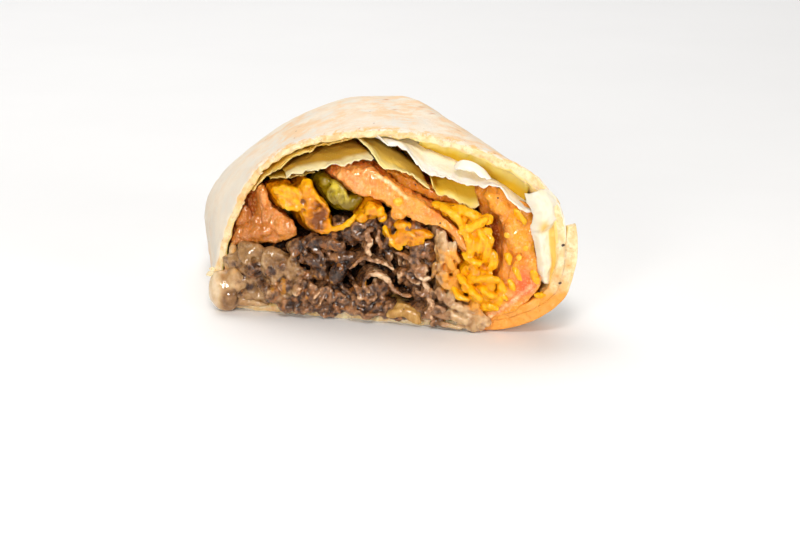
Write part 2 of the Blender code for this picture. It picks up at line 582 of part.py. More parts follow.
def lettuce(collection):
    mat = material("lettuce", (0.74, 0.70, 0.34), 0.4)
    leaf("lettuce_left_back",
         [(-33.3, 29.3, 1), (-30.8, 31.8, 0.5), (-28, 34.2, 0), (-25, 36.3, 0), (-22.4, 38, 0),
          (-19.8, 39.2, 0), (-17.4, 40.2, 0.5)],
         [(-33.3, 29.3), (-30.8, 31.8), (-28, 34.2), (-25, 36.3), (-22.4, 38), (-19.8, 39.2),
          (-17.4, 40.2)], mat, collection, seed=1)
    leaf("lettuce_left_low",
         [(-28.4, 32.5, 1), (-26.2, 33, 0.5), (-23.6, 33.2, 0.5), (-21.2, 33.8, 1), (-18.8, 34.3, 1.5),
          (-16.8, 34.6, 2)],
         [(-28.4, 32.5), (-26.2, 33), (-23.6, 33.2), (-21.2, 33.8), (-18.8, 34.3), (-16.8, 34.6)],
         mat, collection, seed=2)
    leaf("lettuce_front_left",
         [(-24.6, 34.6, -3), (-21, 35.2, -3), (-18, 35.7, -3), (-14, 36.3, -2.8), (-10.4, 37.5, -2.4),
          (-7, 38.4, -2), (-3.8, 38.8, -1.6)],
         [(-24.8, 34.7), (-21.6, 35.7), (-18, 36.9), (-14, 38.2), (-10.4, 39), (-7, 39.6), (-4.4, 39.6)],
         mat, collection, seed=3)
    leaf("lettuce_deep",
         [(-15.6, 40.6, 5), (-12.6, 41.2, 5), (-9.8, 41.7, 5), (-7.6, 42, 5)],
         [(-15.6, 40.6), (-12.6, 41.2), (-9.8, 41.7), (-7.6, 42)], mat, collection, seed=4)
    leaf("lettuce_middle",
         [(-6, 42.5, 0.5), (-4.1, 41.2, -0.6), (-2.9, 39.9, -1.6), (-1.8, 38.7, -2.4), (0.6, 38, -3),
          (4, 36.7, -3), (7.6, 34.8, -3), (10.2, 33.6, -2.6)],
         [(-6, 42.4), (-4, 41.7), (-2, 41), (0, 40.2), (2.4, 39), (4.8, 37.8), (7.6, 36.2), (10, 34.8)],
         mat, collection, seed=5)
    leaf("lettuce_big",
         [(-1.6, 44.2, -1.4), (1.4, 43.2, -2.2), (4.6, 41.2, -3), (6.4, 39, -3.4), (8.4, 37.4, -3.4),
          (13, 36.6, -3), (18, 35.5, -2.6), (23, 34.7, -2), (27, 33.7, -1.4), (30.4, 31.4, -0.6),
          (33, 29.3, 0.2)],
         [(-1.6, 42.9), (1.4, 42.7), (4.6, 42.2), (7.4, 41.6), (10, 40.9), (14, 40), (18.6, 38.8),
          (23, 37.2), (27.2, 35.2), (30.6, 32.8), (33.2, 30.2)], mat, collection, seed=6)
    leaf("lettuce_under",
         [(11.2, 35.3, 0), (11.9, 33.9, 0), (13.4, 32.7, 0.4), (15.4, 32.5, 1), (18, 32, 1.6),
          (20.4, 31.7, 2), (22, 32.4, 2)],
         [(11.4, 35.2), (12.3, 34), (13.8, 33.2), (15.8, 32.8), (18, 32.4), (20.4, 32), (22, 32.4)],
         mat, collection, wave=0.15, seed=7)
    leaf("lettuce_deep_right",
         [(12, 41.9, 5), (16, 41, 5), (20, 39.8, 5), (24, 38.3, 5), (28, 36.4, 5), (31, 34.5, 5)],
         [(12, 41.9), (16, 41), (20, 39.8), (24, 38.3), (28, 36.4), (31, 34.5)], mat, collection, seed=8)
    leaf("lettuce_flake",
         [(16.2, 38.7, -1.6), (18, 39.3, -1.6), (20.2, 39.3, -1.6), (22.6, 38.6, -1.4), (24.2, 37.8, -1)],
         [(16.4, 39.7), (18.2, 40.1), (20.2, 39.7), (22.4, 39), (24, 38.2)], mat, collection,
         wave=0.1, settle=5.0, runs_back=False, seed=9)
    leaf("lettuce_curl",
         [(34.2, 34.6, -1.8), (37.2, 33.6, -2.4), (39, 31.2, -2.4), (38.6, 28.6, -1.8), (37.4, 26.4, -0.8),
          (37.6, 23.6, 0.6), (38.2, 20.6, 1.6), (38.4, 17.6, 2), (38.2, 15.4, 2)],
         [(34, 31.9), (35.3, 30.5), (36.3, 28.8), (37, 27), (37.6, 25.2), (38.2, 22.8), (38.6, 20.6),
          (38.8, 18.2), (38.6, 15.8)], mat, collection, wave=0.1, settle=1.8, seed=10)


def main():
    for obj in list(bpy.data.objects):
        bpy.data.objects.remove(obj)
    collection = bpy.data.collections.new("steak_and_cheese_wrap")
    bpy.context.scene.collection.children.link(collection)
    tortilla(collection)
    steak(collection)
    melted_cheese(collection)
    cheddar(collection)
    tomatoes(collection)
    pepper_and_onion(collection)
    lettuce(collection)


main()
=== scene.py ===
"""Half of a steak and cheese wrap, dressed with its real surfaces and fine pieces.

Shapes are worked out in mm in two frames. Face coordinates (u, z, d) run right along the slanted cut,
up, and back along the tube. Flat coordinates (x, y, z) are the same points in a square frame, before
the tube tapers, so that distances in them are true. settle() brings flat points to their place in
metres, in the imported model's frame.
"""

import math
import random

import bmesh
import bpy
import numpy as np
from mathutils import Euler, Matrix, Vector


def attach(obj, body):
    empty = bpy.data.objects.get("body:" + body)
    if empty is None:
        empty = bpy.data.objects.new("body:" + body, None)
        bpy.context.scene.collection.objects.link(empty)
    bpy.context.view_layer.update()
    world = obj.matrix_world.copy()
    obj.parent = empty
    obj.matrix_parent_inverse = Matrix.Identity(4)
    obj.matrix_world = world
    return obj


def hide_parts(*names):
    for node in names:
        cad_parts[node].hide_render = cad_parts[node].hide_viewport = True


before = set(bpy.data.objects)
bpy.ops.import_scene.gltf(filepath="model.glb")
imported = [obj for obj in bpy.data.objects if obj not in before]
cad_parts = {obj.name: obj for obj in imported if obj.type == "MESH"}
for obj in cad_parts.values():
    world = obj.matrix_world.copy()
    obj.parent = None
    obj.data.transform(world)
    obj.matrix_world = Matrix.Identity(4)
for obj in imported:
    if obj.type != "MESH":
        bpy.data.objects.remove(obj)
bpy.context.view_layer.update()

bl_info = {
    "name": "Steak and Cheese Wrap",
    "version": (1, 0, 0),
    "blender": (4, 5, 0),
    "location": "3D View > Sidebar > Wrap",
    "description": "Builds the tortilla, steak, cheese and salad of half a cut wrap",
    "category": "Add Mesh",
}

MM = 0.001

# The tube's named dimensions, mm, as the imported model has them
CUT_BIAS = math.radians(31)
FILLING_END = 58.0
FOLD_START = 64.0
TUBE_END = 80.0
FOLD_HEIGHT = 13.0
CENTRE_X = 0.9
CENTRE_Y = 28.4
COS = math.cos(CUT_BIAS)
SIN = math.sin(CUT_BIAS)
DETAIL_END = 9.0  # fillings are finely shaped this far behind the cut
STATIONS = (0.55, 0.95)  # shares of the way back at which the plain stretches have a section


# -------------------- frames

def flat(points):
    """Face coordinates (u, z, d) to flat ones (x, y, z)."""
    p = np.asarray(points, float)
    return np.stack([p[..., 0] * COS, p[..., 2] - p[..., 0] * SIN, p[..., 1]], -1)


def face(points):
    """Flat coordinates (x, y, z) to face ones (u, z, d)."""
    p = np.asarray(points, float)
    u = p[..., 0] / COS
    return np.stack([u, p[..., 2], p[..., 1] + u * SIN], -1)


def settle(points):
    """Flat points in mm to their place in the wrap, in metres."""
    coords = face(points)
    u, z, d = coords[..., 0], coords[..., 1], coords[..., 2]
    behind = np.maximum(d, 0)
    corner = np.clip(1 - z / 26, 0, 1.2) ** 1.5 * np.clip((-u - 12) / 33, 0, 1) ** 2
    x = (u + 8 * (1 - np.exp(-behind / 9)) * corner) * COS
    y = d - u * SIN
    swell = 1 + 0.03 * (1 - np.exp(-behind / 12))
    width = swell * (1 - 0.32 * np.clip((y + 10) / (TUBE_END + 10), 0, 1) ** 2.2)
    height = swell * (1 - 0.42 * np.clip((y - 30) / (TUBE_END - 30), 0, 1) ** 2)
    settled = 1 - np.exp(-behind / 25)
    fall = 12 * np.clip((x - 15) / 23, 0, 1) ** 1.2 + 6.3 * np.clip((4 - x) / 30, 0, 1) ** 1.2
    ridge = 2.4 * np.exp(-((x - 19) / 8) ** 2)
    z = (z - (fall - ridge) * settled * z / 46) * height
    flank = np.clip(-x / 38, 0, 1) ** 2 * np.clip(1 - ((z - 18) / 20) ** 2, 0, 1)
    x = x * width - 4.1 * flank * (1 - np.exp(-behind / 12))
    fold = np.clip((y - FOLD_START) / (TUBE_END - FOLD_START), 0, 1)
    x = x * (1 - 0.40 * fold ** 2.5)
    z = FOLD_HEIGHT + (z - FOLD_HEIGHT) * np.sqrt(1 - 0.98 * fold ** 2)
    return np.stack([(x - CENTRE_X) * MM, (y - CENTRE_Y) * MM, np.maximum(z, 0) * MM], -1)


def depth_at(u, y):
    """Depth d that brings a point at u to the distance y behind the middle of the cut."""
    return y + u * SIN


# -------------------- numbers

LATTICE = np.random.default_rng(7).uniform(-1, 1, 8192)


def noise(points, size, seed=0):
    """Smooth noise from -1 to 1 at an array of points, with bumps about size apart."""
    q = np.asarray(points, float) / size + seed * 7.31
    cell = np.floor(q).astype(np.int64)
    f = q - cell
    f = f * f * (3 - 2 * f)
    total = 0
    for dx in (0, 1):
        for dy in (0, 1):
            for dz in (0, 1):
                key = ((cell[..., 0] + dx) * 73856093) ^ ((cell[..., 1] + dy) * 19349663)
                key = key ^ ((cell[..., 2] + dz) * 83492791)
                wx = f[..., 0] if dx else 1 - f[..., 0]
                wy = f[..., 1] if dy else 1 - f[..., 1]
                wz = f[..., 2] if dz else 1 - f[..., 2]
                total = total + LATTICE[key % len(LATTICE)] * wx * wy * wz
    return total


def layered(points, size, seed):
    """Noise with finer and fainter layers on it."""
    return sum(noise(points, size / 2 ** k, seed + k) * 0.55 ** k for k in range(3))


def ease(low, high, value):
    """0 at low, 1 at high, and smooth between."""
    t = np.clip((value - low) / (high - low), 0, 1)
    return t * t * (3 - 2 * t)


def spline(points, per_span, closed=False):
    """Points along a smooth curve through the given ones, per_span for each stretch."""
    p = np.array(points, float)
    if not closed:
        p = np.vstack([2 * p[0] - p[1], p, 2 * p[-1] - p[-2]])
    count = len(p) if closed else len(p) - 3
    start = 0 if closed else 1
    curve = []
    for i in range(count):
        a, b, c, e = (p[(start + i + k) % len(p)] for k in (-1, 0, 1, 2))
        for k in range(per_span):
            t = k / per_span
            curve.append(0.5 * (2 * b + (c - a) * t + (2 * a - 5 * b + 4 * c - e) * t ** 2
                                + (3 * b - a - 3 * c + e) * t ** 3))
    if not closed:
        curve.append(p[-2])
    return np.array(curve)


def along(curve):
    """Distance along a line at each of its points."""
    steps = np.diff(np.asarray(curve, float), axis=0)
    return np.concatenate([[0], np.cumsum(np.linalg.norm(steps, axis=1))])


def read_off(curve, way, at):
    """The points of a curve at some of its way's distances."""
    return np.stack([np.interp(at, way, values) for values in np.transpose(curve)], -1)


def resample(curve, count):
    """The same line with points evenly spaced along it."""
    way = along(curve)
    return read_off(curve, way, np.linspace(0, way[-1], count))


def ridged(points, size, seed):
    """Noise with sharp crests, from -1 to 1."""
    return 1 - 2 * np.abs(noise(points, size, seed))


def blob(u, z, at_u, at_z, wide, tall):
    """1 at a place of the face, and softly less with the distance from it."""
    return np.exp(-((u - at_u) / wide) ** 2 - ((z - at_z) / tall) ** 2)


def spread(u, z, places):
    """Total of soft round places, each given by its u, z, radius and amount."""
    total = 0 * u
    for at_u, at_z, size, amount in places:
        total += amount * np.exp(-(np.hypot(u - at_u, z - at_z) / size) ** 2)
    return total


def inset(outline, amount):
    """A closed (u, z) outline moved inwards by amount along its normals."""
    tangent = np.roll(outline, -1, 0) - np.roll(outline, 1, 0)
    normal = np.stack([tangent[:, 1], -tangent[:, 0]], -1)
    normal /= np.linalg.norm(normal, axis=1)[:, None]
    ahead = np.roll(outline, -1, 0)
    area = np.sum(outline[:, 0] * ahead[:, 1] - ahead[:, 0] * outline[:, 1])
    return outline - amount * normal * (1 if area > 0 else -1)


# -------------------- shapes, as (flat points, faces)

def merged(shapes):
    points, faces, start = [], [], 0
    for p, f in shapes:
        points.append(p)
        faces += [[i + start for i in loop] for loop in f]
        start += len(p)
    return np.vstack(points), faces


def sphere_shape(level):
    bm = bmesh.new()
    bmesh.ops.create_icosphere(bm, subdivisions=level, radius=1.0)
    points = np.array([v.co for v in bm.verts])
    faces = [[v.index for v in f.verts] for f in bm.faces]
    bm.free()
    return points, faces


SPHERES = {level: sphere_shape(level) for level in (2, 3)}
# columns: right along the cut, up, and straight into it
CUT_AXES = np.array([[COS, 0, SIN], [-SIN, 0, COS], [0, 1, 0]])


def lump(centre, radii, seed, turn=(0, 0, 0), rough=0.2, level=2):
    """A lumpy ball at (u, z, d); radii along the cut, up and into it; turned by degrees."""
    points, faces = SPHERES[level]
    push = 1 + rough * (noise(points, 0.9, seed) + 0.4 * noise(points, 0.4, seed + 1))
    rotation = np.array(Euler([math.radians(a) for a in turn]).to_matrix())
    turned = points * push[:, None] * np.array(radii) @ rotation.T
    return turned @ CUT_AXES.T + flat(centre), faces


def lumps(rows):
    """Finer lumpy balls, from rows of u, z, d, three radii, seed, lean and, where it isn't 0.2, roughness."""
    return [lump(row[:3], row[3:6], row[6], (0, 0, row[7]), *row[8:], level=3) for row in rows]


def tube_faces(rings, count):
    """Faces of a closed tube of rings with count points each."""
    faces = []
    for r in range(rings - 1):
        for i in range(count):
            j = (i + 1) % count
            faces.append([r * count + i, r * count + j, (r + 1) * count + j, (r + 1) * count + i])
    faces.append(list(range(count))[::-1])
    faces.append([(rings - 1) * count + i for i in range(count)])
    return faces


def loft(rings):
    """A closed shape through rings of (u, z, d) points."""
    return flat(np.vstack(rings)), tube_faces(len(rings), len(rings[0]))


def ring_at(outline, depth):
    return np.column_stack([outline, np.full(len(outline), float(depth))])


def ring_back(outline, share):
    return np.column_stack([outline, share * depth_at(outline[:, 0], FILLING_END)])


def cut_end(outline, front, deep=None, rounding=1, droop=0, step=2, grow=0.35):
    """The finely shaped stretch of a filling, from its rounded cut face to DETAIL_END.

    step is how far behind the face it reaches its deep section, which grows a little to close up on
    its neighbours.
    """
    edge = spline(outline, 3, closed=True)
    inner = inset(spline(deep or outline, 3, closed=True), -grow)
    rings = []
    for k in range(4):
        turn = k / 3 * math.pi / 2
        ring = ring_at(inset(edge, rounding * (1 - math.sin(turn))), front + rounding * (1 - math.cos(turn)))
        ring[:, 1] -= droop * (1 - k / 3)
        rings.append(ring)
    rings.append(ring_at(edge, front + rounding + step * 0.5))
    rings.append(ring_at(inner, max(front + rounding, 0) + step))
    rings.append(ring_at(inner, DETAIL_END))
    return loft(rings)


def run_back(outline, deep=None):
    """The plain stretch of a filling that runs on through the wrap."""
    inner = spline(deep or outline, 1, closed=True)
    rings = [ring_at(inset(inner, 0.5), DETAIL_END - 2)]
    rings += [ring_back(inset(inner, 0.2), share) for share in STATIONS]
    rings.append(ring_back(inset(inner, 0.9), 1))
    return loft(rings)


def rod(path, radius, sides=8, flatten=1, seed=0):
    """A rounded strand along (u, z, d) points; radius may be one for each point."""
    line = flat(path)
    radii = np.broadcast_to(np.asarray(radius, float), (len(line),)).copy()
    tangent = np.gradient(line, axis=0)
    tangent /= np.linalg.norm(tangent, axis=1)[:, None]
    side = np.cross(tangent, (0.1, 0.2, 1))
    side /= np.linalg.norm(side, axis=1)[:, None]
    up = np.cross(side, tangent)
    angles = np.linspace(0, 2 * math.pi, sides, endpoint=False) + seed
    rings = []
    for at, s, v, r in zip(line, side, up, radii):
        rings.append(at + r * (np.cos(angles)[:, None] * s + flatten * np.sin(angles)[:, None] * v))
    first = line[0] - tangent[0] * radii[0] * 0.6 + (rings[0] - line[0]) * 0.55
    last = line[-1] + tangent[-1] * radii[-1] * 0.6 + (rings[-1] - line[-1]) * 0.55
    return np.vstack([first, *rings, last]), tube_faces(len(line) + 2, sides)


def strands(rows):
    """Rods along smooth curves, from rows of radius and (u, z, d) path."""
    return [rod(spline(path, 4), radius) for radius, *path in rows]


def sheet(grid, thickness):
    """A closed thin solid on a grid of flat points (rows, columns), thickened to both sides."""
    rows, columns = grid.shape[:2]
    across = np.gradient(grid, axis=1)
    inwards = np.gradient(grid, axis=0)
    normal = np.cross(across, inwards)
    normal /= np.maximum(np.linalg.norm(normal, axis=-1), 1e-9)[..., None]
    half = np.broadcast_to(np.asarray(thickness, float) / 2, (rows, columns))[..., None]
    points = np.vstack([(grid + normal * half).reshape(-1, 3), (grid - normal * half).reshape(-1, 3)])
    under = rows * columns
    faces = []
    for r in range(rows - 1):
        for c in range(columns - 1):
            a, b = r * columns + c, r * columns + c + 1
            e, f = a + columns, b + columns
            faces.append([a, b, f, e])
            faces.append([under + e, under + f, under + b, under + a])
    rim = list(range(columns))
    rim += [r * columns + columns - 1 for r in range(1, rows)]
    rim += [(rows - 1) * columns + c for c in range(columns - 2, -1, -1)]
    rim += [r * columns for r in range(rows - 2, 0, -1)]
    for a, b in zip(rim, rim[1:] + rim[:1]):
        faces.append([b, a, under + a, under + b])
    return points, faces


def slice_shape(path, front, back, thickness, seed):
    """A shaved slice seen edge on: its (u, z) path, crinkled, from front to back depth."""
    line = spline(path, 8)
    line = resample(line, max(6, int(along(line)[-1] / 0.45)))
    rows = []
    for share in np.linspace(0, 1, 9):
        depth = front + (back - front) * share
        ring = ring_at(line, depth)
        ring[:, 2] += 0.7 * (1 - share) * noise(ring, 1.5, seed)
        ring[:, 0] += 0.35 * noise(ring, 1.8, seed + 3)
        ring[:, 1] += 0.45 * noise(ring, 1.6, seed + 5)
        rows.append(flat(ring))
    grid = np.array(rows)
    taper = np.sin(np.linspace(0.25, math.pi - 0.25, len(line)))[None, :] ** 0.5
    lip = np.linspace(0.7, 1, 9)[:, None]
    return sheet(grid, thickness * taper * lip)


# -------------------- meshes

def placed(name, data):
    """A new object in the scene."""
    made = bpy.data.objects.new(name, data)
    bpy.context.scene.collection.objects.link(made)
    return made


def raw_mesh(points, faces, name="shape"):
    mesh = bpy.data.meshes.new(name)
    mesh.from_pydata([tuple(p) for p in points], [], faces)
    mesh.update()
    return mesh


def arrays_of(mesh):
    """Points, faces and normals of a mesh."""
    points = np.zeros(len(mesh.vertices) * 3, np.float32)
    mesh.vertices.foreach_get("co", points)
    normals = np.zeros(len(mesh.vertices) * 3, np.float32)
    mesh.vertex_normals.foreach_get("vector", normals)
    faces = [list(polygon.vertices) for polygon in mesh.polygons]
    return points.reshape(-1, 3).astype(float), faces, normals.reshape(-1, 3).astype(float)


def melt(shapes, voxel, rounds):
    """One even skin over closed shapes that overlap: its points, faces and normals."""
    points, faces = merged(shapes)
    mesh = raw_mesh(points, faces)
    carrier = placed("shape", mesh)
    skin = carrier.modifiers.new("skin", "REMESH")
    skin.mode = "VOXEL"
    skin.voxel_size = voxel
    if rounds:
        soften = carrier.modifiers.new("soften", "SMOOTH")
        soften.iterations = rounds
        soften.factor = 0.5
    bpy.context.view_layer.update()
    shown = carrier.evaluated_get(bpy.context.evaluated_depsgraph_get())
    made = bpy.data.meshes.new_from_object(shown)
    result = arrays_of(made)
    bpy.data.objects.remove(carrier)
    bpy.data.meshes.remove(mesh)
    bpy.data.meshes.remove(made)
    return result


def edges_of(faces):
    pairs = {(min(a, b), max(a, b)) for loop in faces for a, b in zip(loop, loop[1:] + loop[:1])}
    return np.array(sorted(pairs))


def relaxed(values, edges, rounds):
    """Values at the points of a mesh, evened out along its edges."""
    a, b = edges.T
    size = len(values)
    count = np.bincount(edges.ravel(), minlength=size).astype(float)
    for _ in range(rounds):
        total = np.stack([
            np.bincount(a, values[b, k], size) + np.bincount(b, values[a, k], size)
            for k in range(values.shape[1])
        ], -1)
        values = 0.5 * values + 0.5 * total / np.maximum(count, 1)[:, None]
    return values


def pushed(points, normals, amount):
    return points + normals * amount[:, None]


def bulge_of(points, faces, normals, rounds):
    """How far each point stands out of the skin round it, mm."""
    edges = edges_of(faces)
    return np.sum((points - relaxed(points, edges, rounds)) * normals, axis=1)


def piece(name, points, faces, finishes, slot, nodes=(), values=None, finish_index=None, cores=()):
    """A visible piece from flat points.

    values are named numbers for its finish, one a point. cores are plain closed shapes behind a fine
    skin, where each value is 0.
    """
    skin_count = len(points)
    points, faces = merged([(points, faces), *cores])
    mesh = raw_mesh(settle(points), faces, name)
    for finish in finishes:
        mesh.materials.append(finish)
    if finish_index is not None:
        mesh.polygons.foreach_set("material_index", np.asarray(finish_index, np.int32))
    for key, numbers in (values or {}).items():
        layer = mesh.attributes.new(key, "FLOAT", "POINT")
        padded = np.concatenate([numbers, np.zeros(len(points) - skin_count)])
        layer.data.foreach_set("value", padded.astype(np.float32))
    mesh.shade_smooth()
    obj = placed(name, mesh)
    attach(obj, "root")
    if nodes:
        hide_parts(*nodes)
    return obj


# -------------------- finishes

def srgb(*colour):
    """A colour of 0 to 255 parts, as Blender's linear numbers."""
    parts = [c / 255 for c in colour]
    return tuple(p / 12.92 if p <= 0.04045 else ((p + 0.055) / 1.055) ** 2.4 for p in parts)


class Finish:
    """A procedural material under construction. Sizes are in mm."""

    def __init__(self, name, roughness, subsurface=0, radius=(1, 1, 1), scale=1, coat=0,
                 coat_rough=0.1, specular=0.5):
        self.material = bpy.data.materials.new(name)
        self.material.use_nodes = True
        self.tree = self.material.node_tree
        self.shader = self.tree.nodes["Principled BSDF"]
        self.spot = self.tree.nodes.new("ShaderNodeTexCoord").outputs["Object"]
        self.base = (0.5, 0.5, 0.5)
        settings = {
            "Roughness": roughness, "Specular IOR Level": specular, "Subsurface Weight": subsurface,
            "Subsurface Radius": radius, "Subsurface Scale": scale * MM, "Coat Weight": coat,
            "Coat Roughness": coat_rough,
        }
        for key, value in settings.items():
            self.shader.inputs[key].default_value = value

    def node(self, kind, inputs=(), **settings):
        made = self.tree.nodes.new(kind)
        for key, value in settings.items():
            setattr(made, key, value)
        for key, value in dict(inputs).items():
            if isinstance(value, bpy.types.NodeSocket):
                self.tree.links.new(value, made.inputs[key])
            else:
                made.inputs[key].default_value = value
        return made

    def noise(self, size, detail=3, rough=0.55, distortion=0, stretch=None):
        """Blotches about size mm across, from 0 to 1."""
        spot = self.spot
        if stretch:
            spot = self.node("ShaderNodeMapping", {"Vector": spot, "Scale": stretch}).outputs[0]
        return self.node("ShaderNodeTexNoise", {
            "Vector": spot, "Scale": 1 / (size * MM), "Detail": detail, "Roughness": rough,
            "Distortion": distortion,
        }).outputs[0]

    def cells(self, size):
        """Distance to the nearest of scattered centres, about size mm apart."""
        return self.node("ShaderNodeTexVoronoi", {
            "Vector": self.spot, "Scale": 1 / (size * MM),
        }).outputs["Distance"]

    def value(self, name):
        """A number that the mesh carries at each point."""
        return self.node("ShaderNodeAttribute", attribute_name=name).outputs["Fac"]

    def math(self, operation, a, b):
        return self.node("ShaderNodeMath", {0: a, 1: b}, operation=operation).outputs[0]

    def add(self, a, b):
        return self.math("ADD", a, b)

    def times(self, a, b):
        return self.math("MULTIPLY", a, b)

    def stirred(self, name, size, detail=3, rough=0.55, distortion=0, amount=1):
        """The mesh's number with noise on it, amount between its highest and lowest."""
        swing = self.math("SUBTRACT", self.noise(size, detail, rough, distortion), 0.5)
        return self.add(self.value(name), self.times(swing, amount))

    def step(self, value, low, high, top=1):
        """0 below low, top above high, and smooth between."""
        return self.node("ShaderNodeMapRange", {
            "Value": value, "From Min": low, "From Max": high, "To Min": 0, "To Max": top,
        }, interpolation_type="SMOOTHSTEP").outputs[0]

    def ramp(self, value, stops):
        """Colours along 0 to 1: pairs of place and colour."""
        made = self.node("ShaderNodeValToRGB", {"Fac": value})
        elements = made.color_ramp.elements
        while len(elements) < len(stops):
            elements.new(0.5)
        for element, (at, colour) in zip(elements, stops):
            element.position = at
            element.color = (*colour, 1)
        return made.outputs[0]

    def mix(self, share, a, b):
        """Colour a with a share of colour b."""
        made = self.tree.nodes.new("ShaderNodeMix")
        made.data_type = "RGBA"
        for socket, value in ((made.inputs[0], share), (made.inputs[6], a), (made.inputs[7], b)):
            if isinstance(value, bpy.types.NodeSocket):
                self.tree.links.new(value, socket)
            elif isinstance(value, float):
                socket.default_value = value
            else:
                socket.default_value = (*value, 1)
        return made.outputs[2]

    def over(self, colour, value, low=None, high=None, top=1):
        """Lays a colour over the base: top of it where value passes high, none below low."""
        share = value if low is None else self.step(value, low, high, top)
        self.base = self.mix(share, self.base, colour)

    def link(self, socket, name):
        self.tree.links.new(socket, self.shader.inputs[name])

    def bump(self, height, depth, target="Normal"):
        """Low relief; depth is what a height of 1 stands for, mm."""
        self.link(self.node("ShaderNodeBump", {"Height": height, "Distance": depth * MM}).outputs[0], target)

    def done(self, height, depth, wet=False):
        """Gives the shader its base and relief; a wet coat is broken up into many small glints."""
        self.link(self.base, "Base Color")
        self.bump(height, depth)
        if wet:
            self.bump(self.noise(0.7, 3, 0.6), 0.05, "Coat Normal")
        return self.material

    def thin(self, share):
        """Lets some light through, as a thin leaf does."""
        clear = self.node("ShaderNodeBsdfTranslucent", {"Color": self.base})
        blend = self.node("ShaderNodeMixShader", {0: share, 1: self.shader.outputs[0], 2: clear.outputs[0]})
        self.tree.links.new(blend.outputs[0], self.tree.nodes["Material Output"].inputs["Surface"])


# -------------------- settings

def size_property(name, description, default):
    return bpy.props.FloatProperty(name=name, description=description, default=default * MM, min=0.0001,
                                   precision=5, unit="LENGTH")


def colour_property(name, description, default):
    return bpy.props.FloatVectorProperty(name=name, description=description, default=srgb(*default), size=3,
                                         min=0, max=1, subtype="COLOR")


def count_property(name, description, default):
    return bpy.props.IntProperty(name=name, description=description, default=default, min=0, max=2000)


def light_property(name, description, default, **more):
    return bpy.props.FloatProperty(name=name, description=description, default=default, min=0.0, **more)


class WrapTortillaSettings(bpy.types.PropertyGroup):
    blister: size_property("Blister height", "How far the baked blisters stand up", 0.2)
    flour: colour_property("Flour", "Pale, least baked parts of the outside", (228, 220, 207))
    toast: colour_property("Toast", "Browned patches on the outside", (236, 202, 162))
    scorch: colour_property("Scorch", "Darkest baked spots", (206, 150, 104))
    crumb: colour_property("Crumb", "The sheet where it is cut through", (234, 198, 142))
    inside: colour_property("Inside", "The sheet's clean inner face", (255, 220, 134))
    # the stain colour is also laid as painted shade on the upper left of the cut rim
    stain: colour_property("Stain", "Where cheese grease has soaked the inner face", (248, 158, 48))


class WrapSteakSettings(bpy.types.PropertyGroup):
    crumbs: count_property("Crumbs", "Small torn pieces on the face of the heap", 230)
    slice: size_property("Slice", "Thickness of a shaved slice", 1.0)
    # dark is painted shade, the colour of the deepest gaps and hollows
    dark: colour_property("Dark", "Deep gaps between the slices", (38, 20, 11))
    meat: colour_property("Meat", "Flat sides of the slices", (82, 52, 33))
    crisp: colour_property("Crisp", "Crisp edges of the slices", (174, 122, 80))


class WrapCheeseSettings(bpy.types.PropertyGroup):
    pale: colour_property("Pale", "Thick melted white cheese", (206, 172, 128))
    thin: colour_property("Thin", "Thin film, where the meat shows through", (138, 96, 54))


class WrapCheddarSettings(bpy.types.PropertyGroup):
    shred: size_property("Shred", "Width of a grated shred", 2.2)
    bright: colour_property("Bright", "Fresh shreds", (255, 179, 4))
    deep: colour_property("Deep", "Melted and shaded parts", (218, 132, 4))


class WrapTomatoSettings(bpy.types.PropertyGroup):
    flesh: colour_property("Flesh", "Cut flesh", (242, 144, 60))
    streak: colour_property("Streak", "Pale fibres in the flesh", (250, 188, 112))
    skin: colour_property("Skin", "Skin and the ripest flesh", (236, 106, 44))


class WrapGreensSettings(bpy.types.PropertyGroup):
    leaf: size_property("Leaf", "Thickness of a lettuce leaf", 0.4)
    vein: colour_property("Vein", "Veins and torn rims", (255, 240, 196))
    pepper: colour_property("Pepper", "Green pepper", (122, 100, 4))
    # pepper pith is also laid as painted highlights on the pepper's knob and ridge
    pepper_pith: colour_property("Pepper pith", "The pepper's bright inner wall", (216, 192, 60))
    onion: colour_property("Onion", "Fried onion", (178, 130, 64))


class WrapStageSettings(bpy.types.PropertyGroup):
    floor: colour_property("Floor", "The pale floor", (244, 245, 247))
    key: light_property("Key light", "Power of the soft light above and behind", 1.25, unit="POWER")
    fill: light_property("Fill light", "Power of the soft light in front", 2.0, unit="POWER")
    sky: light_property("Sky", "Strength of the even light from all sides", 0.2)


# -------------------- tortilla

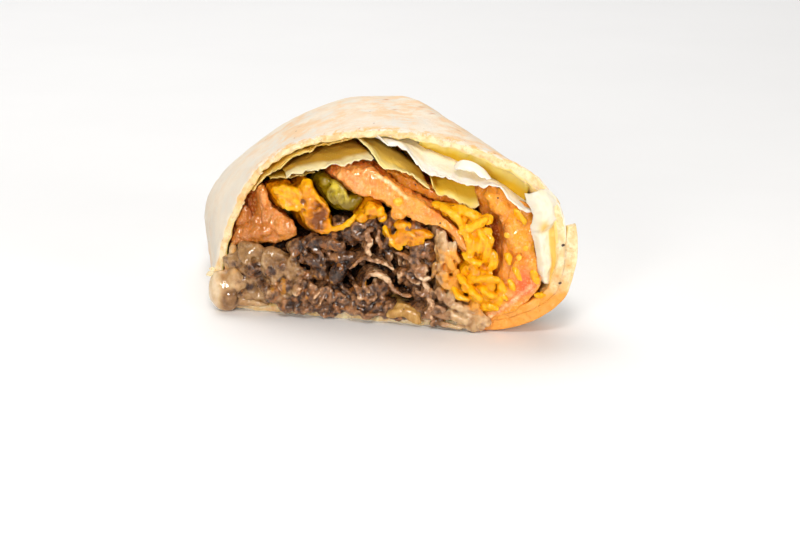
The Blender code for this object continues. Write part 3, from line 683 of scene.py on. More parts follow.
# The rolled sheet's outer u, z and inner u, z along its way: from its inner end at the lower right,
# up the right wall, over the top, down the left, back under, and up the outside to its free edge.
SHEET_PATH = [
    (21.4, 2.3, 21.1, 2.7), (25.2, 2.6, 24.6, 3.9), (28.9, 3.4, 28, 5), (32.7, 4.8, 31.4, 6.4),
    (36.3, 6.7, 34.8, 8.1), (39.3, 9, 37.6, 10.1), (41.3, 11.6, 39.2, 12.2), (42.8, 17.6, 40.8, 17.4),
    (42.9, 22, 40.7, 21.2), (43, 25.4, 40.5, 24), (42.7, 28, 39.9, 26.4), (41, 31.6, 38.3, 29.3),
    (36.2, 37, 34.2, 34.6), (28.6, 41.2, 27.2, 38.8), (20.2, 43.6, 19.2, 41.5),
    (10.7, 45.5, 10.2, 43.5), (0, 46.2, 0, 44.2), (-11, 44.9, -10.6, 42.9), (-21.8, 41.8, -20.9, 40),
    (-31.4, 36, -29.9, 34.4), (-37.4, 29, -35.1, 27.8), (-41.3, 20.5, -38.6, 20),
    (-43.4, 12.5, -40.6, 12.5), (-45.4, 6.6, -42.7, 7), (-44.8, 3.4, -42.2, 4.4),
    (-41.6, 0.8, -39.9, 2.7), (-34, 0, -33.6, 2.2), (-20, 0, -20, 2.1), (-6, 0, -6, 2.1),
    (10, 0, 10, 2.1), (22, 0, 21.7, 2.1), (26.1, 0.4, 25.3, 2.55), (30.1, 1.3, 28.95, 3.35),
    (34.4, 2.9, 32.65, 4.85), (38.3, 5.2, 36.25, 6.75), (41.4, 7.8, 39.25, 9.05),
    (43.6, 11, 41.25, 11.65), (45.4, 18, 42.75, 17.6), (45.6, 22.4, 42.85, 22), (44.9, 26, 43.1, 25.4),
]
LAP = 36.0  # how much of the sheet's inner end lies under its flap
SHEET_SPACING = 0.55  # between points along the sheet's way
SHEET_STEPS = 6  # over the sheet's thickness at the cut
NEAR_ROWS = (0.0, 0.35, 0.8, 1.4, 2.1, 2.9, 3.8, 4.8)  # depths of the rows next to the cut
TUCKED_ROWS = 24  # rows at the fold where both faces are outside

# what a face of the sheet shows
OUTSIDE, INSIDE, CRUMB = 0, 1, 2


def tortilla_finishes(look):
    outside = Finish("baked tortilla", 0.62, 0.12, (1, 0.7, 0.45), 1.2, specular=0.2)
    patches = outside.noise(19, 4, 0.6, 0.6, stretch=(1, 0.6, 1))
    high = outside.step(outside.value("top"), 0.25, 1)
    toast = outside.times(outside.step(patches, 0.42, 0.62), outside.add(high, 0.3))
    toast = outside.add(toast, outside.value("toast"))
    streaked = outside.noise(3.4, 5, 0.68, 0.3, stretch=(0.7, 1, 1))
    toast = outside.times(toast, outside.step(streaked, 0.34, 0.64, 0.95))
    toast = outside.times(toast, outside.step(outside.noise(3.2, 4, 0.65), 0.25, 0.55, 1.1))
    outside.base = look.flour
    outside.over(srgb(244, 230, 208), outside.noise(9, 2), 0.3, 0.7, 0.6)
    outside.over(look.toast, toast)
    worn = outside.step(outside.noise(6, 2), 0.50, 0.66)
    outside.over(look.scorch, outside.times(outside.step(outside.cells(7.5), 0.22, 0.04), worn))
    outside.over(look.toast, outside.value("blister"), 0.15, 0.8, 0.5)
    dots = outside.step(outside.cells(5.2), 0.050, 0.03)
    outside.over(srgb(140, 92, 58), outside.times(dots, outside.step(patches, 0.40, 0.55)))
    rim = outside.value("rim")
    browned = outside.step(outside.noise(3, 5, 0.7), 0.44, 0.60)
    outside.over(srgb(240, 190, 124), outside.times(rim, browned))
    flecks = outside.step(outside.noise(1.3, 3, 0.6), 0.60, 0.70, 0.8)
    outside.over(srgb(204, 138, 84), outside.times(rim, flecks))
    outside.over(look.stain, outside.stirred("stain", 4, 4, 0.65), 0.45, 1, 0.8)

    inside = Finish("tortilla inner face", 0.4, 0.45, (1, 0.7, 0.3), 3, 0.35, 0.12, 0.3)
    inside.base = look.inside
    inside.over(srgb(253, 230, 180), inside.noise(6), 0.3, 0.75, 0.6)
    inside.over(look.stain, inside.stirred("stain", 4, 4, 0.65), 0.15, 0.80, 0.95)
    dots = inside.step(inside.cells(3.4), 0.09, 0.04)
    inside.over(srgb(170, 110, 56), inside.times(dots, inside.step(inside.noise(5), 0.52, 0.64)))

    crumb = Finish("tortilla crumb", 0.5, 0.3, (1, 0.75, 0.35), 1.8, 0.25, 0.18, 0.3)
    crumb.base = look.crumb
    crumb.over(srgb(246, 226, 186), crumb.noise(2.2, 4, 0.65), 0.36, 0.64)
    crumb.over(srgb(232, 180, 110), crumb.noise(2.6, 5, 0.68), 0.50, 0.66, 0.45)
    crumb.over(srgb(206, 146, 80), crumb.cells(1.1), 0.26, 0.10, 0.25)
    crumb.over(look.stain, crumb.stirred("stain", 3), 0.20, 0.85, 0.9)
    return [
        outside.done(outside.add(outside.noise(0.7, 4, 0.7), outside.times(outside.noise(2.6), 1.6)), 0.16),
        inside.done(inside.noise(1.2, 4, 0.65), 0.16),
        crumb.done(crumb.add(crumb.noise(0.9, 4, 0.65), crumb.step(crumb.cells(1.1), 0.1, 0.3, 0.5)), 0.2),
    ]


def tortilla_rows():
    """How each row of the sheet is placed, by how much, and how far it closes to the fold's edge."""
    rows = [("depth", d, 0) for d in NEAR_ROWS]
    rows += [("share", s, 0) for s in np.linspace(0.075, 1, 58)]
    rows += [("back", y, 0) for y in np.linspace(FOLD_START + 0.9, TUBE_END - 0.4, 20)]
    rows += [("back", TUBE_END - 0.1, 0.15), ("back", TUBE_END + 0.15, 0.55), ("back", TUBE_END + 0.3, 1)]
    return rows


def tortilla_grids(look):
    """Flat points of the sheet's two faces, how blistered the outer one is, and where it is lapped."""
    pairs = np.array(SHEET_PATH).reshape(-1, 2, 2)
    lines = [spline(pairs[:, side], 12) for side in (0, 1)]
    way = along(lines[0])
    count = int(way[-1] / SHEET_SPACING)
    at = np.linspace(0, way[-1], count)
    outer, inner = (read_off(line, way, at) for line in lines)
    outer[:, 1] = np.maximum(outer[:, 1], 0)
    across = outer - inner
    across /= np.linalg.norm(across, axis=1)[:, None]
    left = way[-1] - at  # length left to the free edge
    free = ease(7, 0, left)
    lapped = np.maximum(ease(LAP, LAP - 3, at), ease(LAP + 3, LAP, left))
    out_share = 1 - ease(LAP + 3, LAP, at)
    in_share = 0.5 * (1 - ease(LAP + 8, LAP + 3, left))
    u, z = outer.T
    still = np.zeros(count)

    def line_noise(x, z, size, seed):
        return noise(np.stack([x, still, z], -1), size, seed)

    grids, blisters = [[], []], []
    for kind, amount, closing in tortilla_rows():
        if kind == "depth":
            depth = np.full(count, amount)
        elif kind == "share":
            depth = NEAR_ROWS[-1] + (depth_at(u, FOLD_START) - NEAR_ROWS[-1]) * amount
        else:
            depth = depth_at(u, amount)
        torn = np.stack([u, np.full(count, amount if kind == "depth" else 5), z], -1)
        ragged = (0.5 * layered(torn, 3.4, 5) + 0.3 * noise(torn, 0.9, 8)) * (1 - 0.7 * lapped)
        depth_out = depth + ragged * (1 - ease(0, 4, depth))
        points = flat(np.stack([u, z, depth_out], -1))
        swell = ease(1.2, 9, z) * ease(0.5, 6, depth)
        wide = 0.26 * noise(points, 15, 1) + 0.18 * noise(points, 6.5, 2) - 0.1
        bubble = np.maximum(noise(points * (1, 0.8, 1), 5, 11) - 0.32, 0) * 1.6
        fold = ease(FOLD_START - 16, TUBE_END, points[:, 1])
        crease = fold * 0.9 * line_noise(at, points[:, 1] * 0.12, 5.2, 21)
        flank = ease(-30, -40, u) * ease(3, 12, depth)
        crease += 0.35 * flank * line_noise(z, points[:, 1] * 0.18, 4.4, 23)
        lift = swell * (wide + bubble * look.blister / MM * 1.8 + 0.05 * layered(points, 1.6, 4) + crease)
        # the lip at the cut wanders and thins out in places
        lip = ease(5, 0, depth) * ease(1.5, 8, z) * (1 - lapped)
        wander = lip * (0.34 * noise(torn, 8, 51) + 0.24 * noise(torn, 2.6, 52) + 0.14 * noise(torn, 1.1, 55))
        thin = lip * (0.28 + 0.34 * noise(torn, 4, 53) + 0.22 * noise(torn, 1.4, 54))
        curl = free * (0.1 + 0.3 * noise(points, 6, 31)) * ease(2, 8, z)
        top_uz = outer + across * (out_share * (lift + wander) + curl)[:, None]
        low_uz = inner + across * (in_share * lift + 2 * in_share * (wander + thin) + curl)[:, None]
        # the free edge is torn, not straight
        slip = free * 1.6 * layered(np.stack([depth_out, still, still], -1), 7, 41)
        for grid, line in zip(grids, (top_uz, low_uz)):
            p = flat(np.stack([line[:, 0], line[:, 1] + slip, depth_out], -1))
            if closing:
                p[:, 2] = FOLD_HEIGHT + (p[:, 2] - FOLD_HEIGHT) * (1 - closing)
            p[:, 2] = np.maximum(p[:, 2], 0)
            grid.append(p)
        blisters.append(bubble * swell)
    return np.array(grids[0]), np.array(grids[1]), np.array(blisters), lapped


def build_tortilla(look):
    top, low, blisters, lapped = tortilla_grids(look)
    rows, count = top.shape[:2]
    edge = []
    for k in range(1, SHEET_STEPS):
        share = k / SHEET_STEPS
        line = top[0] * (1 - share) + low[0] * share
        bow = (0.55 - 0.5 * lapped) * math.sin(share * math.pi)
        nudge = [0.14 * noise(line, 0.9, k + 60), 0.45 * noise(line, 1.3, 70) - bow,
                 0.18 * noise(line, 0.9, k + 80)]
        edge.append(line + np.stack(nudge, -1))
    points = np.vstack([top.reshape(-1, 3), low.reshape(-1, 3), np.vstack(edge)])
    points[:, 2] = np.maximum(points[:, 2], 0)
    under = rows * count
    faces, kinds = [], []
    for r in range(rows - 1):
        for c in range(count - 1):
            a, b = r * count + c, r * count + c + 1
            e, f = a + count, b + count
            faces.append([a, e, f, b])
            faces.append([under + a, under + b, under + f, under + e])
            kinds += [OUTSIDE, INSIDE if r < rows - TUCKED_ROWS else OUTSIDE]
    strips = [0, *[2 * under + k * count for k in range(SHEET_STEPS - 1)], under]
    for first, second, kind in zip(strips, strips[1:], (OUTSIDE, CRUMB, CRUMB, CRUMB, CRUMB, INSIDE)):
        for c in range(count - 1):
            faces.append([first + c, first + c + 1, second + c + 1, second + c])
            kinds.append(CRUMB if lapped[c] > 0.5 else kind)
    for c in (0, count - 1):
        for r in range(rows - 1):
            a, b = r * count + c, (r + 1) * count + c
            loop = [a, b, under + b, under + a]
            faces.append(loop if c else loop[::-1])
            kinds.append(CRUMB)
    for a in range((rows - 1) * count, rows * count - 1):
        faces.append([a, under + a, under + a + 1, a + 1])
        kinds.append(OUTSIDE)
    u, z, d = face(points).T
    near = ease(18, 2, d)
    stain = 1.15 * ease(16, 26, u) * ease(15, 4, z) * near
    stain += 0.30 * ease(30, 40, u) * ease(26, 12, z) * near
    # the stain value also paints shade here: the upper left of the cut rim and the face just behind it go
    # darker and yellower, as in shadow
    left = ease(-29, -35, u) * ease(36, 32, z) * ease(24, 28, z)
    stain += 0.45 * left * ease(10, 2, d)
    stain += 0.40 * ease(4, 2, z) * ease(-10, -24, u) * ease(12, 2, d)
    toast = 0.8 * np.exp(-((u - 3) / 13) ** 2) * ease(9, 22, d) * ease(24, 36, z)
    values = {
        "stain": stain, "top": ease(24, 44, z), "rim": ease(5.5, 0.4, d) * ease(30, 42, z),
        # the far left flank also takes toast as painted shade: tan streaks for the shading of its wrinkles
        "toast": toast + 0.35 * ease(-36, -42, u) * ease(4, 14, d),
        "blister": np.concatenate([blisters.ravel(), np.zeros(len(points) - blisters.size)]),
    }
    piece("tortilla_sheet", points, faces, tortilla_finishes(look), "tortilla", ["tortilla"], values, kinds)


def build_flakes():
    """Small crumbs of the sheet that stand off its cut edge."""
    rng = random.Random(12)
    line = spline(np.array(SHEET_PATH)[:, 2:], 10)
    shapes = []
    for _ in range(34):
        at = line[rng.randrange(115, 205)]  # the upper part of the rim
        centre = (at[0] + rng.uniform(-0.2, 0.2), at[1] + rng.uniform(0.4, 2), rng.uniform(-0.5, 0.4))
        radii = (rng.uniform(0.2, 0.7), rng.uniform(0.12, 0.25), rng.uniform(0.2, 0.4))
        lean = math.degrees(math.atan2(-at[0], 60))
        shapes.append(lump(centre, radii, rng.randrange(99), (0, 0, lean + rng.uniform(-25, 25)), 0.5))
    shapes += lumps([
        (-45.5, 8.4, -1.2, 1.4, 0.6, 0.7, 5, 8, 0.5), (-45, 9.3, -0.8, 1, 0.6, 0.7, 5, -30, 0.5),
    ])
    points, faces = merged(shapes)
    crumb = bpy.data.materials["tortilla crumb"]
    piece("tortilla_flakes", points, faces, [crumb], "tortilla", values={"stain": np.zeros(len(points))})


# -------------------- steak and white cheese

STEAK_SECTION = [
    (-41.2, 4.4), (-40.4, 10), (-38.9, 14.3), (-34.5, 15.5), (-30, 15.6), (-26, 16.5), (-21.5, 17.8),
    (-19.8, 19.1), (-17.2, 19.1), (-14.4, 20.2), (-12.2, 21.4), (-10.2, 23.4), (-8.2, 24.2), (-5, 23.2),
    (-2.2, 23.7), (-0.2, 25.1), (1.6, 25.7), (4, 25.2), (7, 23.7), (10, 23), (11.2, 22), (11, 19),
    (11.4, 14.5), (11.2, 10), (10.4, 7.2), (8.8, 6.4), (6.8, 6.5), (4.6, 6.9), (2.2, 6.8), (-0.3, 5),
    (-4.4, 4.4), (-6.2, 3), (-14, 2.9), (-22, 2.9), (-33.2, 3), (-39, 3.5),
]
STEAK_SLICES = [  # shaved slices seen edge on: depth of the front, and (u, z) path
    (-3.4, (-9.9, 13.4), (-8.4, 14.8), (-6.4, 15.9), (-4.4, 15.9), (-1.8, 15.2), (0, 14.5), (1.2, 14.1)),
    (-3.8, (-4.9, 8.2), (-6.1, 9.6), (-5.9, 11.4), (-4.4, 12.4), (-2.2, 12.4), (-0.4, 11.2),
     (0.6, 9.6), (2.4, 8.2), (5.2, 7.8)),
    (-3.4, (-3.6, 23.4), (-5.2, 21.8), (-4.4, 20), (-5, 18.4), (-4.7, 16.7)),
    (-2.6, (-7.8, 24), (-8.6, 22.4), (-7.6, 20.8), (-6.2, 20.4), (-5.8, 22)),
    (-3, (-2.2, 23), (-2.4, 21), (-1.4, 19), (-0.4, 19.8), (-0.2, 21.8)),
    (-2, (1.6, 17.8), (3.4, 17.2), (5.2, 16.4), (6, 14.6), (4.6, 13.2)),
    (-2.6, (6.4, 17.2), (7.4, 15.2), (6.8, 13.2), (8.6, 12), (10.2, 12.4)),
    (-2.8, (8.4, 10.9), (9.8, 9.8), (8.6, 8.4), (6.8, 9)),
    (-1.2, (-14.8, 18), (-14.6, 16.4), (-13.4, 15), (-11.4, 15.2)),
    (-1.4, (-21, 18.4), (-18.4, 17.2), (-16.6, 15.8), (-15.4, 14)),
    (-3.2, (-19.8, 8.8), (-17.4, 7.2), (-15.2, 7.8), (-13.6, 5.8), (-15.4, 4.4)),
    (-3.4, (-25.6, 8.8), (-26.2, 6.4), (-24.6, 4.6), (-23, 6.4), (-23.4, 9), (-21.4, 10)),
    (-2.6, (-8.2, 9.6), (-6.8, 6.8), (-7.8, 5), (-5.8, 4.2)),
    (-3.6, (-18, 4.6), (-16.4, 6.4), (-14.2, 5.4), (-12.6, 7), (-10.8, 6.2)),
    (-1.4, (2.6, 11.8), (4.6, 12.6), (6.2, 11.4), (7.8, 10.8)),
    (-3, (9.2, 8), (10.6, 6), (9.4, 3.8), (10.8, 2.2)),
]
STEAK_GAPS = [  # open gaps between the slices: u, z, radius
    (-7.9, 11.2, 1.9), (-2.4, 9.9, 1.9), (3.6, 10.4, 1.7), (5.6, 8.6, 1), (12.6, 15, 1.7), (-3, 17.4, 1),
    (-1.6, 17.8, 0.9), (-8.3, 18.2, 1), (7.6, 5.6, 1.6), (-23, 12.6, 1.3),
]
STEAK_SLABS = [  # smooth dark pieces: u, z, d, half width, half height, lean
    (-14.6, 18.3, -0.6, 4.6, 1.5, -8), (-11.4, 15.2, -0.4, 4, 1.4, 14), (-17.6, 13.6, -0.9, 3.2, 1.5, -24),
    (7.4, 18, -1.2, 2.2, 1.8, 20), (8, 14.4, -1.4, 2.2, 1.4, -30), (-7, 21.4, -1, 1.8, 1.6, 30),
]
STEAK_NUGGETS = [  # round browned pieces at the left: u, z, d, radius
    (-34.2, 11.2, -2.6, 2), (-29.8, 10.8, -2.4, 1.5), (-31.8, 7.4, -2.6, 1.2), (-28.6, 5.6, -2.8, 1.2),
    (-26.2, 8, -3.2, 1.7), (-23.4, 5, -3, 1.3), (-26.4, 12.4, -2.2, 1.2), (-26, 3.2, -3, 1.9),
    (-22.6, 2.8, -3, 1.5), (-20.4, 5.6, -3, 1.4), (-35.2, 6.6, -2, 0.9), (-30.2, 3.8, -2.2, 0.9),
    (-19.6, 2.6, -3, 1.1), (-37, 8.8, -1.6, 0.9),
]
STEAK_GOLD = [  # greasy golden spots: u, z, radius, amount
    (-20.8, 5.4, 0.9, 0.6), (-18.2, 10, 1, 0.6), (-12.8, 15, 0.8, 0.6), (-0.6, 21.6, 1, 0.6),
    (6.2, 22.4, 1.6, 0.6), (-26.6, 6.2, 0.9, 0.6), (-29.4, 6.6, 0.8, 0.6), (-14, 9.6, 0.7, 0.6),
    (-8.6, 14.4, 0.8, 0.6), (-16.6, 13.2, 0.7, 0.6),
]
STEAK_SHADING = [  # painted light and shade on the meat, darker in gaps and hollows, lighter where it catches light: u, z, radius, change
    (-14.5, 18.4, 5, 0.02), (-10, 19, 4, -0.04), (-20, 14.6, 4, -0.08), (-12, 11.4, 3.2, -0.3),
    (0, 18, 4, -0.16), (-4.7, 19, 2.2, 0.28), (-4.6, 15.8, 3, 0.14), (1, 14, 3, 0.24), (-19, 6.6, 3.6, 0.18),
    (-10, 5.6, 4.5, 0.12), (0.4, 6.4, 3, 0.12), (9.2, 11.2, 2.6, 0.28), (10.6, 5, 3, 0.14),
    (6.4, 15, 4, 0.14), (-26.4, 5.6, 4, 0.24), (9.6, 19, 2.4, 0.02), (-14.4, 15.6, 1.6, 0.22),
    (-41, 5.5, 2, 0.18), (-16.4, 19, 2.2, -0.12), (3.6, 4.8, 2.6, -0.3), (-7, 11.4, 2, -0.1),
    (-2.6, 12.4, 2.4, 0.36), (-14, 5, 2, -0.15), (-10.2, 8.6, 2, -0.2),
]
STEAK_COAT = [  # smooth lumps of cheese over the left end: u, z, d, three radii, seed, lean, roughness
    (-33.8, 15.2, -1.4, 2.9, 1.9, 2, 6, 4, 0.12), (-28.6, 14.8, -1.2, 2.8, 1.7, 1.8, 7, -14, 0.12),
    (-37.4, 12.4, -0.6, 1.9, 2.4, 1.8, 9, 14, 0.12), (-23.6, 12, -0.8, 4.4, 1.1, 1.6, 8, -24, 0.14),
]
STEAK_VOXEL = 0.288
UNDER_TOP = 4.6  # height up to which meat hangs out under the section


def meat_finish(steak, cheese):
    """Cooked meat that turns to melted white cheese where the mesh's coat says so."""
    made = Finish("shaved steak", 0.42, 0.10, (1, 0.45, 0.25), 0.8, 1, 0.08, 0.12)
    shade = made.stirred("shade", 0.7, 5, 0.75, 0.3, amount=0.75)
    # the ramp paints light and shade: near black where shade is low, in gaps and deep in, up to a pale
    # highlight on raised edges
    made.base = made.ramp(shade, [
        (0, srgb(14, 7, 4)), (0.24, steak.dark), (0.48, steak.meat),
        (0.66, srgb(142, 98, 62)), (0.84, steak.crisp), (1, srgb(244, 204, 160)),
    ])
    made.over(made.mix(0.5, made.base, srgb(100, 84, 72)), made.noise(4.5, 2), 0.55, 0.72, 0.35)
    made.over(made.mix(0.55, made.base, srgb(206, 124, 44)), made.noise(2.1, 3, 0.6, 0.4), 0.53, 0.66, 0.7)
    # the white cheese over the meat is lit and shaded by the same shade value
    white = made.ramp(shade, [
        (0, srgb(78, 48, 22)), (0.32, cheese.thin), (0.66, srgb(180, 138, 88)), (1, cheese.pale),
    ])
    made.over(white, made.stirred("coat", 1.5, 5, 0.68), 0.30, 0.70, 0.92)
    made.over(srgb(214, 142, 36), made.stirred("gold", 1.1), 0.42, 0.72, 0.75)
    made.link(made.step(made.noise(1.3), 0.25, 0.75, 0.5), "Roughness")
    return made.done(made.add(made.noise(0.45, 4, 0.75), made.noise(1.3)), 0.42, wet=True)


def in_gap(u, z, grow):
    return any(math.hypot(u - at_u, z - at_z) < radius + grow for at_u, at_z, radius in STEAK_GAPS)


def in_section(u, z):
    """Whether a point is inside the steak's section."""
    inside = False
    for (u0, z0), (u1, z1) in zip(STEAK_SECTION, STEAK_SECTION[1:] + STEAK_SECTION[:1]):
        if (z0 > z) != (z1 > z) and u < u0 + (z - z0) / (z1 - z0) * (u1 - u0):
            inside = not inside
    return inside


def face_depth(u, z):
    """Depth of the heap's crumbs: forward at the bottom and left, set back in the middle."""
    low = math.exp(-((z - 1.5) / 5.5) ** 2)
    left = 1 / (1 + math.exp((u + 24) / 3))
    dark = math.exp(-(((u + 12) / 7) ** 2 + ((z - 17) / 4) ** 2))
    hollow = math.exp(-(((u + 3) / 8) ** 2 + ((z - 12) / 4.5) ** 2))
    return 1.4 - 3.6 * low - 2 * left * (1 - low) + 0.8 * dark + 1.2 * hollow


def steak_crumbs(look, rng):
    """Small torn pieces over the face of the heap, fewer in its middle and at the left."""
    shapes = []
    made = 0
    while made < look.crumbs:
        u, z = rng.uniform(-42, 11.5), rng.uniform(1.8, 25.5)
        under = -30 < u < 10.5 and z < UNDER_TOP
        if not (in_section(u, z) or under) or in_gap(u, z, 0.5):
            continue
        made += 1
        share = rng.random()
        middle = -17 < u < 4 and 6.5 < z < 20
        if (middle and share < 0.65) or (u < -25 and share < 0.45):
            continue
        size = 0.75 + 1.9 * rng.random() ** 1.4
        depth = face_depth(u, z) + rng.uniform(-0.8, 1.2)
        if under:
            size *= 0.8
            depth = max(depth, -0.8 if -4.8 < u < 8.8 else -2.4)
        radii = (size * rng.uniform(0.8, 1.6), size * rng.uniform(0.5, 1), size * rng.uniform(0.8, 1.3))
        turn = (rng.uniform(-50, 50), rng.uniform(-40, 40), rng.uniform(-80, 80))
        crumb = lump((u, z, depth), radii, rng.randrange(200), turn, 0.6)
        if not (under and u < -27):
            shapes.append(crumb)
    return shapes


def steak_curls(rng):
    """Loose curls between the slices."""
    shapes = []
    for _ in range(30):
        u, z = rng.uniform(-24, 11), rng.uniform(3, 22)
        if not in_section(u, z) or in_gap(u, z, 1):
            continue
        heading = rng.uniform(0, 2 * math.pi)
        bend = rng.uniform(-1.2, 1.2)
        path = [(u, z)]
        for _ in range(3):
            heading += bend
            path.append((path[-1][0] + 2.2 * math.cos(heading), path[-1][1] + 1.6 * math.sin(heading)))
        front = face_depth(u, z) - rng.uniform(0.4, 1.6)
        shapes.append(slice_shape(path, max(front, -3.6), 4.6, rng.uniform(1.3, 2.2), rng.randrange(99)))
    return shapes


def steak_shapes(look):
    rng = random.Random(31)
    section = np.array(STEAK_SECTION)
    rings = ((2, 4.2), (0.6, 5), (-0.4, 6), (-0.4, DETAIL_END))
    shapes = [loft([ring_at(inset(section, amount), depth) for amount, depth in rings])]
    for k, (front, *path) in enumerate(STEAK_SLICES):
        shapes.append(slice_shape(path, front - 0.3, 5.2, look.slice / MM * rng.uniform(1.3, 1.8), k * 3))
    shapes += steak_crumbs(look, rng) + steak_curls(rng)
    # the filling's mass under the crumbs, so that no gap goes through
    for u in np.arange(-36, 11, 3.2):
        shapes.append(lump((u, 3.8, 0.6), (2.6, 2.2, 2.6), int(u) + 60, rough=0.3))
    for u in np.arange(-38.5, -22, 2.4):
        for z in (5, 7.6, 10.2, 12.6):
            shapes.append(lump((u, z, -0.2), (2.2, 2, 2.4), int(u * z) % 90, rough=0.25))
    shapes.append(lump((-12.2, 11.4, -1.6), (1.9, 3.2, 1.6), 3, (0, 0, -28), 0.12, 3))
    for k, (u, z, d, wide, tall, lean) in enumerate(STEAK_SLABS):
        shapes.append(lump((u, z, d), (wide, tall, 1.5), k + 20, (0, 0, lean), 0.25, 3))
    for u, z, d, size in STEAK_NUGGETS:
        shapes.append(lump((u, z, d), (size, size * 0.95, size * 0.9), int(-u * 3), (0, 0, 30), 0.38, 3))
    return shapes + lumps(STEAK_COAT)


def build_steak(look, cheese):
    points, faces, normals = melt(steak_shapes(look), STEAK_VOXEL, 1)
    u, z, d = face(points).T
    left = ease(-20, -26, u)
    points += (relaxed(points, edges_of(faces), 8) - points) * (0.8 * left)[:, None]
    coat = left * 0.62 + 0.45 * blob(u, z, -31.5, 15.2, 6.5, 2.4) + 0.60 * blob(u, z, -23, 11.8, 4.5, 1.6)
    coat += 0.35 * ease(5, 10.5, u) * ease(10, 5, z) + 0.30 * blob(u, z, 9, 16.2, 2, 2.2)
    smooth = np.maximum(np.clip(1.6 * blob(u, z, -31, 15.4, 5.5, 1.8), 0, 1), 0.15 * left)
    calm = 0.6 * blob(u, z, -12, 16.5, 8, 4.5) + 0.6 * blob(u, z, 7, 17, 3, 4)
    move = 0.20 * ridged(points, 1.7, 3) + 0.20 * noise(points, 0.95, 5) + 0.12 * noise(points, 0.5, 6)
    points = pushed(points, normals, move * (1 - 0.75 * smooth) * (1 - calm) * ease(7, 4, d))
    # shade paints light and shade: raised edges lighter, hollows and the meat further in darker, and lighter
    # or darker places as listed
    bulge = bulge_of(points, faces, normals, 12)
    shade = 0.50 + 0.60 * np.clip(bulge / 0.50, -1, 1) + spread(u, z, STEAK_SHADING)
    shade += 0.14 * noise(points, 2.4, 14)
    shade -= 0.28 * ease(0.4, 4.4, d) + 0.02 * np.clip(d, 0, 9)
    shade += 0.03 * left + 0.16 * left * noise(points, 1.6, 33)
    coat -= 0.30 * np.clip(bulge / 0.45, -0.8, 1) * (1 - left) - 0.22 * noise(points, 2.2, 15)
    for at_u, at_z, _, size in STEAK_NUGGETS:
        inside = np.exp(-(np.hypot(u - at_u, z - at_z) / (size * 1.05)) ** 4)
        coat -= 0.55 * inside
        shade -= 0.16 * inside
    gold = 0.75 * blob(u, z, -5.4, 10.1, 1, 1.9) * ease(-1, -3, d)
    gold += 0.75 * blob(u, z, -26.6, 8.6, 0.9, 1.9) + spread(u, z, STEAK_GOLD)
    gold += 0.22 * ease(-22, -28, u) * ease(12, 6, z) - 0.25 * smooth
    values = {"shade": shade, "coat": coat * ease(4.5, 1, d), "gold": gold}
    piece("steak_heap", points, faces, [meat_finish(look, cheese)], "steak", ["steak"], values,
          cores=[run_back(STEAK_SECTION)])


def cheese_finish(cheese, steak):
    made = Finish("melted white cheese", 0.32, 0.45, (1, 0.75, 0.45), 2.2, 0.9, 0.07, 0.1)
    shade = made.stirred("shade", 1.6, 4, 0.6, amount=0.6)
    # the ramp paints light and shade: dark in hollows and deep in, pale on raised parts; the meat showing
    # through is lit and shaded the same way
    made.base = made.ramp(shade, [
        (0.05, srgb(112, 76, 44)), (0.35, srgb(172, 130, 84)), (0.68, cheese.pale),
        (1, srgb(230, 208, 176)),
    ])
    brown_and_shade = made.ramp(shade, [(0.1, steak.dark), (0.45, srgb(112, 74, 46)), (0.8, srgb(186, 136, 96))])
    made.over(brown_and_shade, made.stirred("meat", 1.4, 4, 0.65, amount=1.1), 0.36, 0.76, 0.9)
    made.over(srgb(236, 160, 50), made.stirred("gold", 1.8, amount=1.2), 0.30, 0.85, 0.9)
    return made.done(made.add(made.noise(0.8, 3, 0.6), made.times(made.noise(2.2), 1.2)), 0.24, wet=True)


CHEESE_CORNER = [  # the drip's lumps: u, z, d, three radii, seed, lean, roughness
    (-42, 5, -2.4, 4.3, 5.1, 2.8, 1, 6, 0.05), (-39.2, 7.6, -2.6, 2.4, 3.2, 2, 2, 6, 0.1),
    (-40.8, 3.6, -3.6, 2.3, 2.5, 1.9, 5, -4, 0.05), (-37.4, 2.8, -1.8, 3.2, 1.5, 1.6, 7, -10, 0.12),
    (-37.2, 7.4, -1.6, 2, 2.6, 1.7, 8, 14, 0.12), (-39.6, 11, -0.2, 1.7, 2.6, 1.7, 9, 20, 0.12),
    (-38.8, 14, 0.4, 1.2, 2.6, 1.5, 4, 8, 0.12), (-33.6, 2.4, -1.2, 3.4, 0.9, 1.4, 6, -6),
]
CHEESE_STREAM = [
    (12.3, 23.2), (13.8, 22.9), (15, 21.9), (15.5, 20.6), (16.9, 18.7), (17.9, 17.1), (16.4, 14.2),
    (14.7, 12.4), (15.4, 10.2), (18.2, 8), (21.4, 7), (23, 6), (22.9, 4.7), (20.6, 3.9), (16, 3.2),
    (11.5, 3.1), (11.3, 6), (12.3, 10), (12.5, 14.5), (12.1, 19),
]
